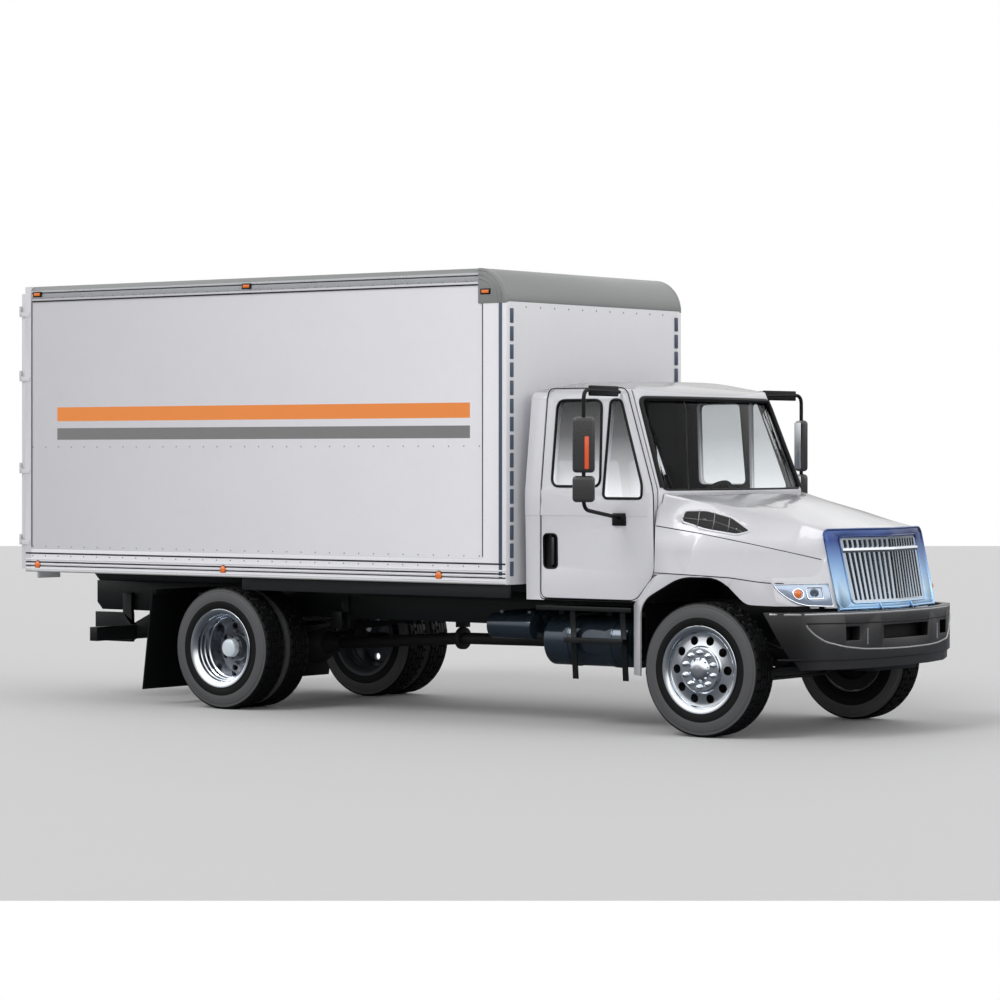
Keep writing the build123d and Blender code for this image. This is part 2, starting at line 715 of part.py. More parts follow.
handle_x0 = -1572.0 + 20
handle_x1 = -1425.0
handle_z0 = 1232.0
handle_z1 = 1495.0
door = (cab_shell & door_prism) - windows
recess = across([(handle_x0, handle_z0), (handle_x0, handle_z1), (handle_x1, handle_z1),
                 (handle_x1, handle_z0)], 1025, 1200, 35)
door -= recess
door += block(-1505, -1475, 1020, 1048, handle_z0 - 4, handle_z1 + 4)
save("door_left", door)
save("door_right", other_side(door))
door_glass = glass_skin & windows & block(-1700, -400, 700, 1200, 1700, 2600)
save("door_glass_left", door_glass)
save("door_glass_right", other_side(door_glass))

# Mirrors: two heads on a tube frame that stands out from each door
mirror_x = -820.0
mirror_y = 1550.0
arm_radius = 12.0
upper_arm_radius = 16.0
mirror_wide = 172.0
mirror_deep = 66.0
mirror_turn = 37.0
mirror_rows = [(2393.0, 1975.0), (1950.0, 1753.0)]


def mirror_frame():
    frame = rod((mirror_x, mirror_y, 1700), (mirror_x, mirror_y, 2600), arm_radius)
    frame += rod((mirror_x, mirror_y, 2600), (mirror_x - 50, 950, 2585), upper_arm_radius)
    frame += rod((mirror_x, mirror_y, 1700), (mirror_x - 10, 1035, 1650), arm_radius)
    frame += Pos(mirror_x, mirror_y, 2600) * Sphere(upper_arm_radius)
    frame += Pos(mirror_x, mirror_y, 1700) * Sphere(arm_radius)
    half_wide = mirror_wide / 2
    half_deep = mirror_deep / 2
    slab = outline([(-half_wide, -half_deep), (half_wide, -half_deep), (half_wide, half_deep),
                    (-half_wide, half_deep)], half_deep - 1)
    for z1, z0 in mirror_rows:
        place = Pos(mirror_x, mirror_y, z0) * Rot(0, 0, -mirror_turn)
        frame += extrude(place * slab, amount=z1 - z0, dir=(0, 0, 1))
    return frame


frame = mirror_frame() - cab_volume(-seat_gap)
save("mirror_left", frame)
save("mirror_right", other_side(frame))

# Inside the cab
dash_points = [(-575.3, 1300), (-575.3, 1770), (-700, 1800), (-860, 1720), (-880, 1560), (-800, 1300)]
column_start = (-1010, 450, 1720)
column_end = (-840, 450, 1570)
column_radius = 26.0
dash_half = 915.0
dashboard = across(dash_points, -dash_half, dash_half, [0, 20, 40, 40, 30, 0])
dashboard -= rod(column_start, column_end, column_radius + seat_gap)
save("dashboard", dashboard)


def seat(y, width):
    base = block(-1480, -1060, y - width / 2 + 40, y + width / 2 - 40, floor_top + seat_gap, 1330)
    cushion = across([(-1560, 1290), (-1560, 1430), (-1040, 1450), (-1020, 1300)], y - width / 2,
                     y + width / 2, 40)
    back = across([(-1560, 1420), (-1650, 2080), (-1560, 2090), (-1440, 1420)], y - width / 2,
                  y + width / 2, 40)
    return base + cushion + back


save("seats", seat(450, 520) + seat(-400, 820))

wheel_tilt = Plane(origin=column_start, z_dir=(-0.75, 0, 0.66))
steering_wheel = wheel_tilt * Torus(225, 17)
steering_wheel += wheel_tilt * Cylinder(52, 40)
steering_wheel += wheel_tilt * Box(430, 34, 14)
steering_wheel += rod(column_start, column_end, column_radius)
save("steering_wheel", steering_wheel)

# Hood
# Each row: x, middle top z, top edge y and z, crease y and z, fender edge y and z
hood_rows = [(hood_rear_x, 1846, 1000, 1822, 1056, 1571, 1072, 1215),
             (-150, 1800, 890, 1742, 1008, 1520, 1195, 1212),
             (250, 1722, 780, 1662, 925, 1445, 1207, 1198),
             (560, 1640, 700, 1590, 820, 1378, 1160, 1165),
             (790, 1578, 650, 1545, 730, 1330, 860, 1150),
             (1010, 1535, 620, 1500, 700, 1300, 770, 1140)]
hood_low = 1135.0
# Each row: x and y from above, at the foot, and again at the line where the fender's top starts
fender_rows = [(-681, 1086, -497, 1082), (-545, 1203, -385, 1203), (500, 1208, 480, 1200),
               (640, 1160, 620, 1150), (830, 800, 815, 790), (1010, 760, 1010, 750)]
fender_top_z = 1205.0
# Each row of the nose: x and y at the lowest height, then at the highest
prow_low = 400.0
prow_high = 1900.0
prow_rows = [(1075, 0, 846, 0), (1023, 720, 680, 720), (768, 1180, 425, 1180), (740, 1400, 397, 1400)]


def hood_section(row, inset, low, x=None):
    at, middle, top_y, top_z, crease_y, crease_z, edge_y, edge_z = row
    at = at if x is None else x
    top = ThreePointArc((-(top_y - inset), top_z - inset), (0, middle - inset), (top_y - inset, top_z - inset))
    side = [(top_y - inset, top_z - inset), (crease_y - inset, crease_z - inset)]
    side += [(edge_y - inset, edge_z - inset), (edge_y - inset, low)]
    rest = Polyline(*side, *[(-y, z) for y, z in side[::-1]])
    return Pos(at, 0, 0) * (Plane.YZ * make_face([top, rest]))


def hood_upper(inset, low, rear_x=None):
    sections = [hood_section(row, inset, low) for row in hood_rows]
    if rear_x is not None:
        sections.insert(0, hood_section(hood_rows[0], inset, low, rear_x))
    return loft(sections, ruled=True)


def hood_lower(inset, foot, rear_x=None):
    sections = []
    for z, pick in ((foot, 0), (fender_low_z, 0), (fender_top_z - inset, 2)):
        half = [(row[pick], row[pick + 1] - inset) for row in fender_rows]
        half[1] = (half[1][0] + inset * 0.7, half[1][1])
        half[0] = (half[0][0] + inset * 0.4, half[0][1])
        if rear_x is not None:
            half.insert(0, (rear_x, half[0][1]))
        sections.append(Pos(0, 0, z) * outline(half + [(x, -y) for x, y in half[::-1]]))
    return loft(sections, ruled=True)


def prow(inset):
    sections = []
    for z, pick in ((prow_low, 0), (prow_high, 2)):
        half = [(row[pick] - inset, row[pick + 1]) for row in prow_rows]
        half.append((-1000, 1400))
        mirrored = [(x, -y) for x, y in half[::-1] if y > 0]
        sections.append(Pos(0, 0, z) * outline(half + mirrored))
    return loft(sections, ruled=True)


arch_points = [(-545, 200), (-545, 1000), (-180, 1196), (170, 1196), (400, 1002), (1300, fender_low_z),
               (1300, 200)]
arch_radii = [0, 190, 420, 320, 160, 0, 0]
opening_points = [(-535, 1006), (-562, 1490), (562, 1490), (535, 1006)]
surround_points = [(-712, 960), (-720, 1552), (720, 1552), (712, 960)]
lamp_points = [(745, 985), (750, 1154), (1160, 1152), (1125, 1098), (1072, 1051), (1010, 1015), (937, 994)]
vent_points = [(-300, 1590), (-285, 1650), (60, 1590), (150, 1535), (120, 1515)]

prow_face = prow(0)
hood_solid = (hood_upper(0, hood_low) + hood_lower(0, flap_low_z)) & prow_face
hollow = hood_upper(hood_wall, 300, hood_rear_x - 200) + hood_lower(hood_wall, 300, -1000)
hollow &= prow(hood_wall)
hood = hood_solid - hollow
for side in (-1, 1):
    hood -= across(arch_points, side * 900 if side > 0 else -1400, 1400 if side > 0 else -900,
                   arch_radii)
hood -= block(340, 1400, -950, 950, 200, fender_low_z)
hood -= cab_volume(-10)
hood -= along(opening_points, 500, 1200)
lamp_prism = along(lamp_points, 300, 1200)
hood -= both(lamp_prism)
vent_prism = across(vent_points, 600, 1200, 14)
hood -= both(vent_prism)
save("hood", hood)

liner_wall = 8.0


def liner():
    """The dark arch over a front wheel, inside the fender and seated in its cut edge."""
    outer = Plane.XZ * offset(outline(arch_points, arch_radii), amount=-seat_gap)
    inner = Plane.XZ * offset(outline(arch_points, arch_radii), amount=-liner_wall)
    band = extrude(Pos(0, 640, 0) * outer, amount=554, dir=(0, 1, 0))
    band -= extrude(Pos(0, 630, 0) * inner, amount=580, dir=(0, 1, 0))
    return band & block(-495, 395, 600, 1300, cab_tunnel_top, 1300)


save("wheel_liners", both(liner()))

grille_proud = 13.0
grille_bars = 20
bar_width = 21.0
surround = (prow(-grille_proud) - prow(-seat_gap)) & along(surround_points, 500, 1200, 50)
surround -= along(opening_points, 500, 1200, 25)
bar_skin = prow(-grille_proud + 4) - prow(16)
bars = Part()
for step in range(grille_bars):
    share = (step + 0.5) / grille_bars * 2 - 1
    low_y = 535 * share
    high_y = 562 * share
    slat = [(low_y - bar_width / 2, 1004), (low_y + bar_width / 2, 1004),
            (high_y + bar_width / 2, 1488), (high_y - bar_width / 2, 1488)]
    bars += bar_skin & along(slat, 700, 1100)
bars += bar_skin & (along(opening_points, 500, 1200) - along([(-516, 1024), (-543, 1472), (543, 1472), (516, 1024)], 500, 1200))
grille = surround + (bars & along(opening_points, 500, 1200))
# notches over the frame's hinge arms, and the ears that turn on their pins
ear_y = hinge_arm_y + 12 + 5.5
grille -= both(block(940, 1010, hinge_arm_y - 6, ear_y, 950, hood_pivot_z + 20))
ear = [(961, 966), (961, 1004), (970, 1004), (hood_pivot_x + 12, hood_pivot_z + 8),
       (hood_pivot_x + 10, hood_pivot_z - 9), (hood_pivot_x - 10, hood_pivot_z - 9)]
ears = across(ear, ear_y, ear_y + 10)
ears -= rod((hood_pivot_x, 200, hood_pivot_z), (hood_pivot_x, 250, hood_pivot_z),
            hinge_pin_radius + seat_gap)
grille += both(ears)
save("grille", grille)

lamp_face = Plane.YZ * offset(outline(lamp_points), amount=-seat_gap)
lamp = (prow(-3) - prow(60)) & extrude(Pos(300, 0, 0) * lamp_face, amount=900, dir=(1, 0, 0))
save("headlamps", both(lamp))

vent = (hood_upper(4, 600) - hood_upper(10, 500)) & vent_prism
save("hood_vents", both(vent))

# Load body
side_low = body_bottom + rail_height_low
side_high = body_top - rail_height_top
cap_centre_x = body_front_x - cap_radius
cap_centre_z = body_top - cap_radius
cap_thick = 26.0
frame_front_x = body_rear_x + rear_frame_depth


def body_side(inset, x0):
    """The body seen from the side, its upper front corner rounded, back to x0."""
    radius = cap_radius - inset
    front = body_front_x - inset
    high = body_top - inset
    mid = (cap_centre_x + radius * math.sqrt(0.5), cap_centre_z + radius * math.sqrt(0.5))
    arc = ThreePointArc((cap_centre_x, high), mid, (front, cap_centre_z))
    rest = Polyline((front, cap_centre_z), (front, body_bottom), (x0, body_bottom), (x0, high),
                    (cap_centre_x, high))
    return make_face([arc, rest])


def body_slice(inset, x0, y0, y1):
    return extrude(Pos(0, y0, 0) * (Plane.XZ * body_side(inset, x0)), amount=y1 - y0, dir=(0, 1, 0))


wall_y0 = body_half - panel_inset - wall_thick
wall_y1 = body_half - panel_inset
beyond_half = body_half + 80
cap = body_slice(0, body_front_x - 900, -body_half, body_half)
cap -= body_slice(cap_thick, body_front_x - 1000, -body_half - 5, body_half + 5)
cap &= block(cap_centre_x, body_front_x + 50, -beyond_half, beyond_half, cap_centre_z, body_top + 50)
save("body_front_cap", cap)

roof = block(frame_front_x, cap_centre_x, -body_half + 34, body_half - 34, body_top - cap_thick, body_top)
save("body_roof", roof)

wall = body_slice(cap_thick, frame_front_x, wall_y0, wall_y1)
wall &= block(frame_front_x, body_front_x - wall_thick - 4, 0, beyond_half, side_low, side_high)
save("body_side_walls", both(wall))

front_wall = block(body_front_x - wall_thick - 4, body_front_x - 4, -body_half + post_width,
                   body_half - post_width, body_bottom, cap_centre_z)
save("body_front_wall", front_wall)

rails = block(frame_front_x, body_front_x - wall_thick - 4, wall_y1 - 12, body_half, body_bottom, side_low)
rails -= block(frame_front_x - 5, body_front_x, wall_y1 - 20, wall_y1, side_low - 8, side_low + 5)
top_rail = [(body_half - 34, body_top), (body_half - 34, side_high), (body_half, side_high),
            (body_half, body_top - 34)]
rails += along(top_rail, frame_front_x, cap_centre_x)
post = block(body_front_x - wall_thick - 4, body_front_x, body_half - post_width, body_half,
             body_bottom, cap_centre_z)
post += body_slice(cap_thick, body_front_x - 700, body_half - 34, body_half) & block(
    cap_centre_x, body_front_x + 50, 0, beyond_half, side_high, body_top + 50)
post += body_slice(cap_thick, post_back_x, wall_y1, body_half)
save("body_rails", both(rails + post))

deck_half = wall_y1 - 12
deck_low = deck_top - 32
floor = block(frame_front_x, body_front_x - wall_thick - 4, -deck_half, deck_half, deck_low, deck_top)
sill_y = 375.0
sill_view = [(body_rear_x + 20, body_bottom), (body_rear_x + 120, rail_top), (body_front_x - 60, rail_top),
             (body_front_x - 60, body_bottom)]
floor += both(across(sill_view, sill_y - 40, sill_y + 40))
cross_pitch = 410.0
cross_count = 12
for step in range(cross_count + 1):
    x = body_front_x - 120 - step * cross_pitch
    floor += block(x - 25, x + 25, -deck_half, deck_half, body_bottom, deck_low)
floor += both(block(rear_axle_x + 200, body_front_x - 10, body_half - 75, body_half - 35, 994, body_bottom))
save("body_floor", floor)

portal = block(body_rear_x, frame_front_x, -body_half, body_half, body_bottom, body_top)
portal -= block(body_rear_x - 5, frame_front_x + 5, -body_half + rear_post_width,
                body_half - rear_post_width, deck_top, body_top - rear_header)
lug_z = (body_bottom + 232, body_bottom + 852, body_top - 820, body_top - 260)
for z in lug_z:
    lug = block(leaf_back_x, frame_front_x - 10, body_half, body_half + 7, z, z + 40)
    lug += rod((leaf_back_x, body_half + hinge_outset, z), (leaf_back_x, body_half + hinge_outset, z + 40), 9)
    lug += block(leaf_back_x, leaf_back_x + 9, body_half + 2, body_half + hinge_outset, z, z + 40)
    portal += both(lug)
save("rear_frame", portal)


handle_z = body_bottom + 477


def cargo_door():
    """The left leaf, its hinge straps and its two lock rods with handles."""
    low = body_bottom + 22
    high = body_top - 60
    leaf = block(leaf_back_x, body_rear_x - door_gap, 4, body_half - 8, low, high)
    for z in lug_z:
        strap = block(leaf_back_x - 7, leaf_back_x, body_half - 160, body_half + hinge_outset, z + 46, z + 92)
        strap += rod((leaf_back_x, body_half + hinge_outset, z + 40 + seat_gap),
                     (leaf_back_x, body_half + hinge_outset, z + 92), 9)
        leaf += strap
    for y, reach in ((250.0, 220.0), (880.0, -220.0)):
        bar_x = leaf_back_x - lock_rod_standoff
        leaf += rod((bar_x, y, low + 30), (bar_x, y, high - 30), lock_rod_radius)
        for z in (low + 60, low + 746, high - 710, high - 100):
            leaf += block(bar_x - 10, leaf_back_x + 2, y - 26, y + 26, z, z + 40)
        leaf += block(bar_x - 8, bar_x + 8, min(y, y + reach), max(y, y + reach), handle_z - 15, handle_z + 15)
        leaf += block(bar_x - 8, leaf_back_x + 2, y + reach - 18, y + reach + 18, handle_z - 23, handle_z + 23)
    return leaf


leaf = cargo_door()
save("cargo_door_left", leaf)
save("cargo_door_right", other_side(leaf))

# Marker lamps on the rails and the tail lamps in the rear frame: columns are x, z
lamp_high_z = body_top - 70
lamp_low_z = body_bottom + 62
marker_rows = [(body_rear_x + 152, lamp_high_z), (body_front_x - 2668, lamp_high_z),
               (body_front_x - 198, body_top - 185), (body_rear_x + 152, lamp_low_z),
               (body_front_x - 2928, lamp_low_z), (body_front_x - 663, lamp_low_z)]
markers = Part()
for x, z in marker_rows:
    markers += block(x - 50, x + 50, body_half + seat_gap, body_half + 16, z - 18, z + 18)
save("marker_lamps", both(markers))
tail_lamp = block(body_rear_x, body_rear_x + 30, body_half - 430, body_half - 120, body_bottom - 82,
                  body_bottom - seat_gap)
save("tail_lamps", both(tail_lamp))
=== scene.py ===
import bpy
import json
import math
from mathutils import Matrix, Vector
from mathutils.bvhtree import BVHTree

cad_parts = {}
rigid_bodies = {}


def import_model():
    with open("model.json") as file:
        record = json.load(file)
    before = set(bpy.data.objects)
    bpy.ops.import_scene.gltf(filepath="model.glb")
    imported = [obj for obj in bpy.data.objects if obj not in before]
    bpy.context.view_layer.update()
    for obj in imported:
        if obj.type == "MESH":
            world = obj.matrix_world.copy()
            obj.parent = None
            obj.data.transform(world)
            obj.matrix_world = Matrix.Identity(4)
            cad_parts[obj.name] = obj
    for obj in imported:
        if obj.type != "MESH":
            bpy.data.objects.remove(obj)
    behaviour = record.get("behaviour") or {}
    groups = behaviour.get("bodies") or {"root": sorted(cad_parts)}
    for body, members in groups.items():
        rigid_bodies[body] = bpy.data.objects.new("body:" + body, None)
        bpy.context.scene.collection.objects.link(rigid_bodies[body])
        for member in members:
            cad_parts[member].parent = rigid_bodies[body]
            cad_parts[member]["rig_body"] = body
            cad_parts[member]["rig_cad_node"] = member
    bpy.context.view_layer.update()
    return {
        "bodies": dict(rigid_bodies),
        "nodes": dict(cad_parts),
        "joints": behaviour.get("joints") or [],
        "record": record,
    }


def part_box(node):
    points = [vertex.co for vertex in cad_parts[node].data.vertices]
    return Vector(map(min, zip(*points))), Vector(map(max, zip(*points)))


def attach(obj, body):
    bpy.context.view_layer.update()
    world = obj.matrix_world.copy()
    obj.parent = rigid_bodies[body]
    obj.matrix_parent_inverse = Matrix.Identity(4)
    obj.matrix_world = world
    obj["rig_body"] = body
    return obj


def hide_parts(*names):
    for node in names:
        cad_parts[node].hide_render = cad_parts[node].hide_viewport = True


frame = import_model()
nodes = frame["nodes"]
bpy.ops.object.select_all(action="DESELECT")
print("frame loaded:", len(nodes), "nodes")

# The truck's main places, in metres: X forward from the middle, Y to its own left, Z up
frontAxle = 3.0115
rearAxle = -1.7335
axleHeight = 0.505
frontWheelY = 1.086
rearWheelY = 1.1
twinSpacing = 0.305
sides = ((1, "left"), (-1, "right"))


# Camera, floor, backdrop and lights
view = {"place": (16.866, -22.2013, 2.0987), "turn": 36.82, "lens": 121.26, "shift": -0.0438}
cameraData = bpy.data.cameras.new("camera")
cameraData.lens = view["lens"]
cameraData.sensor_width = 36
cameraData.shift_y = view["shift"]
cameraData.clip_end = 400
camera = bpy.data.objects.new("camera", cameraData)
camera.location = view["place"]
camera.rotation_euler = (math.radians(90), 0, math.radians(view["turn"]))
bpy.context.scene.collection.objects.link(camera)
bpy.context.scene.camera = camera
bpy.context.scene.view_settings.view_transform = "Standard"


# Nodes: an input takes a plain value or another node's output
def fill(tree, node, inputs):
    for name, value in inputs.items():
        if isinstance(value, bpy.types.NodeSocket):
            tree.links.new(value, node.inputs[name])
        else:
            node.inputs[name].default_value = value


def addNode(tree, kind, inputs=None, **settings):
    node = tree.nodes.new(kind)
    for name, value in settings.items():
        setattr(node, name, value)
    fill(tree, node, inputs or {})
    return node


def calc(tree, operation, *values, **settings):
    # the result of one math node
    node = addNode(tree, "ShaderNodeMath", dict(enumerate(values)), operation=operation, **settings)
    return node.outputs[0]


def objectPlace(tree):
    # the three parts of a place in Object coordinates
    place = addNode(tree, "ShaderNodeTexCoord").outputs["Object"]
    return addNode(tree, "ShaderNodeSeparateXYZ", {0: place}).outputs


def newMaterial(name):
    material = bpy.data.materials.new(name)
    material.use_nodes = True
    tree = material.node_tree
    return material, tree, tree.nodes["Principled BSDF"]


floorSize = {
    "near": 15.9,
    "far": 78.7,
    "halfWidth": 60.0,
    "tone": (0.8, 0.8, 0.8, 1),
    "reflected": (0.045, 0.052, 0.065, 1),
    "roughness": 0.75,
}


def makeFloor():
    turn = math.radians(view["turn"])
    ahead = Vector((-math.sin(turn), math.cos(turn), 0))
    foot = Vector((view["place"][0], view["place"][1], 0))
    middle = foot + ahead * (floorSize["near"] + floorSize["far"]) / 2
    bpy.ops.mesh.primitive_plane_add(size=1, location=middle, rotation=(0, 0, turn))
    floor = bpy.context.object
    floor.name = "floor"
    floor.scale = (floorSize["halfWidth"] * 2, floorSize["far"] - floorSize["near"], 1)
    bpy.ops.object.transform_apply()
    material, tree, shader = newMaterial("floorPaint")
    # darker in reflections, so that chrome has a horizon
    glossy = addNode(tree, "ShaderNodeLightPath").outputs["Is Glossy Ray"]
    tones = {"Factor": glossy, "A": floorSize["tone"], "B": floorSize["reflected"]}
    shade = addNode(tree, "ShaderNodeMix", tones, data_type="RGBA")
    fill(tree, shader, {"Base Color": shade.outputs["Result"], "Roughness": floorSize["roughness"]})
    floor.data.materials.append(material)


makeFloor()

lights = {
    "dome": (0.95, 0.27),
    "domeTo": 1,
    "mirrored": (0.22, 1.25),
    "mirroredTo": 0.3,
    "seen": 1.0,
    "key": {"strength": 0.85, "angle": 24, "from": (-0.2, -1.0, 1.0)},
    "fill": {"strength": 0.42, "angle": 40, "from": (1.0, 0.1, 0.45)},
}


def makeLights():
    # a plain dome, white where it is seen, dimmer overhead, and with a dark foot in reflections
    world = bpy.data.worlds.new("studio")
    world.use_nodes = True
    bpy.context.scene.world = world
    tree = world.node_tree
    way = addNode(tree, "ShaderNodeTexCoord").outputs["Generated"]
    height = addNode(tree, "ShaderNodeSeparateXYZ", {0: way}).outputs["Z"]
    path = addNode(tree, "ShaderNodeLightPath").outputs

    def spread(ends, top):
        inputs = {"Value": height, "From Max": top, "To Min": ends[0], "To Max": ends[1]}
        return addNode(tree, "ShaderNodeMapRange", inputs).outputs["Result"]

    def chosen(test, otherwise, wanted):
        inputs = {"Factor": path[test], "A": otherwise, "B": wanted}
        return addNode(tree, "ShaderNodeMix", inputs).outputs["Result"]

    dome = spread(lights["dome"], lights["domeTo"])
    level = chosen("Is Glossy Ray", dome, spread(lights["mirrored"], lights["mirroredTo"]))
    level = chosen("Is Transmission Ray", level, lights["seen"])
    level = chosen("Is Camera Ray", level, lights["seen"])
    fill(tree, tree.nodes["Background"], {"Color": (1, 1, 1, 1), "Strength": level})
    for name in ("key", "fill"):
        settings = lights[name]
        lamp = bpy.data.lights.new(name, "SUN")
        lamp.energy = settings["strength"]
        lamp.angle = math.radians(settings["angle"])
        holder = bpy.data.objects.new(name, lamp)
        holder.rotation_euler = Vector(settings["from"]).to_track_quat("Z", "Y").to_euler()
        bpy.context.scene.collection.objects.link(holder)


makeLights()
print("camera, floor and lights made")


# Shared effects
def makeGrainGroup():
    # fine grain and slow mottling over a colour, with matching roughness and height
    group = bpy.data.node_groups.new("surfaceGrain", "ShaderNodeTree")
    colorKind, floatKind = "NodeSocketColor", "NodeSocketFloat"
    for name, kind, value in (("Color", colorKind, (0.5, 0.5, 0.5, 1)), ("Grain Scale", floatKind, 80),
                              ("Tone Change", floatKind, 0.1), ("Roughness", floatKind, 0.4),
                              ("Roughness Change", floatKind, 0.1)):
        group.interface.new_socket(name=name, in_out="INPUT", socket_type=kind).default_value = value
    for name, kind in (("Color", colorKind), ("Roughness", floatKind), ("Height", floatKind)):
        group.interface.new_socket(name=name, in_out="OUTPUT", socket_type=kind)
    given = addNode(group, "NodeGroupInput").outputs
    place = addNode(group, "ShaderNodeTexCoord").outputs["Object"]
    fineInputs = {"Vector": place, "Scale": given["Grain Scale"], "Detail": 3}
    fine = addNode(group, "ShaderNodeTexNoise", fineInputs).outputs["Fac"]
    slow = addNode(group, "ShaderNodeTexNoise", {"Vector": place, "Scale": 1.7, "Detail": 4}).outputs["Fac"]
    centred = calc(group, "SUBTRACT", calc(group, "ADD", fine, slow), 1.0)
    tone = calc(group, "MULTIPLY_ADD", centred, given["Tone Change"], 1.0)
    shade = addNode(group, "ShaderNodeVectorMath", {0: given["Color"], "Scale": tone}, operation="SCALE")
    rough = calc(group, "MULTIPLY_ADD", centred, given["Roughness Change"], given["Roughness"],
                 use_clamp=True)
    addNode(group, "NodeGroupOutput", {"Color": shade.outputs[0], "Roughness": rough, "Height": fine})
    return group


grainGroup = makeGrainGroup()
materials = {}


def makeMaterial(name, color, rough, grain, others):
    # colour and roughness pass through the grain group; others are the shader's remaining inputs
    material, tree, shader = newMaterial(name)
    source = color(tree) if callable(color) else (*color, 1)
    inputs = dict(zip(("Grain Scale", "Tone Change", "Roughness Change"), grain))
    inputs.update({"Color": source, "Roughness": rough})
    group = addNode(tree, "ShaderNodeGroup", inputs, node_tree=grainGroup)
    passed = {"Base Color": group.outputs["Color"], "Roughness": group.outputs["Roughness"]}
    fill(tree, shader, {**passed, **others})
    materials[name] = material
    return tree, shader, group


finishes = {
    # name: colour, roughness, metallic, coat, grain scale, tone change, roughness change, bump, shine
    "tyreRubber": ((0.0045, 0.0048, 0.0052), 0.5, 0, 0, 220, 0.35, 0.2, 0.12, 0.22),
    # painted light: a grey ring on the tyre's sidewall in place of the light on its bulge
    "sidewallGrey": ((0.085, 0.086, 0.09), 0.55, 0, 0, 160, 0.12, 0.15, 0.06, 0.4),
    "wheelChrome": ((0.8, 0.84, 0.89), 0.12, 1, 0, 60, 0.06, 0.08, 0.0, 0.5),
    "brightChrome": ((0.82, 0.85, 0.9), 0.12, 1, 0, 60, 0.05, 0.06, 0.0, 0.5),
    # painted shade: the insides and backs of the rims
    "rimShade": ((0.085, 0.092, 0.105), 0.45, 0.35, 0, 60, 0.15, 0.15, 0.0, 0.5),
    "hubBright": ((0.72, 0.8, 0.86), 0.3, 0.1, 0.5, 60, 0.05, 0.08, 0.0, 0.5),
    "frameBlack": ((0.007, 0.0085, 0.009), 0.42, 0, 0.1, 45, 0.4, 0.25, 0.05, 0.3),
    "castIron": ((0.02, 0.02, 0.022), 0.55, 0.3, 0, 140, 0.4, 0.25, 0.25, 0.4),
    "tankPaint": ((0.03, 0.045, 0.062), 0.16, 0.55, 0.5, 20, 0.2, 0.1, 0.0, 0.5),
    # painted highlight: the light grey of the bumper's raised curve and of a line along its top edge
    "bumperEdge": ((0.34, 0.34, 0.35), 0.25, 0.4, 0.3, 60, 0.1, 0.1, 0.0, 0.5),
    "cabPaint": ((0.735, 0.735, 0.775), 0.22, 0, 0.5, 30, 0.03, 0.08, 0.0, 0.4),
    "wallPaint": ((0.7, 0.7, 0.735), 0.34, 0, 0.15, 14, 0.035, 0.1, 0.01, 0.4),
    # black of the rubber seals, also used for painted shade: lines in creases and grooves, and dark walls
    # and a sheet in the bumper
    "sealBlack": ((0.004, 0.004, 0.005), 0.5, 0, 0, 120, 0.3, 0.2, 0.05, 0.25),
    "mirrorShell": ((0.035, 0.035, 0.037), 0.3, 0, 0.35, 50, 0.15, 0.1, 0.0, 0.5),
    "blackPlastic": ((0.008, 0.008, 0.009), 0.5, 0, 0, 260, 0.3, 0.15, 0.1, 0.25),
    "cabinPlastic": ((0.016, 0.018, 0.02), 0.6, 0, 0, 60, 0.15, 0.15, 0.0, 0.2),
    "dashPlastic": ((0.26, 0.31, 0.36), 0.6, 0, 0, 60, 0.12, 0.15, 0.0, 0.3),
    "seatCloth": ((0.66, 0.66, 0.69), 0.85, 0, 0, 160, 0.12, 0.1, 0.12, 0.2),
    "slatChrome": ((0.52, 0.58, 0.65), 0.2, 0.85, 0, 60, 0.15, 0.1, 0.0, 0.5),
    # painted shade: the rear wheels' recessed bowl
    "bowlShade": ((0.15, 0.16, 0.18), 0.4, 0.25, 0, 60, 0.15, 0.15, 0.0, 0.5),
    # painted reflection: a darker grey for the white cab roof's top faces
    "roofShade": ((0.44, 0.44, 0.46), 0.24, 0, 0.3, 30, 0.05, 0.08, 0.0, 0.4),
    "lampLens": ((0.33, 0.41, 0.53), 0.1, 0.35, 0.9, 40, 0.1, 0.05, 0.0, 0.5),
    "lampShade": ((0.1, 0.13, 0.18), 0.25, 0.4, 0.4, 40, 0.1, 0.1, 0.0, 0.5),
    "amberLens": ((0.9, 0.2, 0.02), 0.2, 0, 0.8, 90, 0.15, 0.08, 0.1, 0.5),
    "redLens": ((0.52, 0.02, 0.015), 0.2, 0, 0.8, 90, 0.15, 0.08, 0.1, 0.5),
    "reflectorRed": ((0.8, 0.1, 0.02), 0.25, 0, 0.5, 120, 0.1, 0.08, 0.1, 0.5),
    "flapRubber": ((0.003, 0.0035, 0.004), 0.7, 0, 0, 90, 0.3, 0.15, 0.1, 0.15),
    "brightAlloy": ((0.66, 0.67, 0.7), 0.3, 0.55, 0, 180, 0.08, 0.15, 0.02, 0.5),
    "postWhite": ((0.86, 0.86, 0.9), 0.3, 0.0, 0.2, 40, 0.04, 0.1, 0.0, 0.5),
    "roofAlloy": ((0.27, 0.275, 0.275), 0.42, 0.15, 0, 60, 0.1, 0.12, 0.02, 0.5),
    "rivetGrey": ((0.34, 0.34, 0.36), 0.35, 0.7, 0, 90, 0.15, 0.1, 0.0, 0.5),
    "slotBlue": ((0.08, 0.105, 0.155), 0.4, 0.1, 0, 60, 0.1, 0.1, 0.0, 0.4),
    "floorWood": ((0.2, 0.12, 0.07), 0.6, 0, 0, 24, 0.5, 0.2, 0.2, 0.4),
    "sillDark": ((0.015, 0.016, 0.018), 0.45, 0.1, 0, 50, 0.3, 0.2, 0.05, 0.3),
}
bumpDistance = 0.002
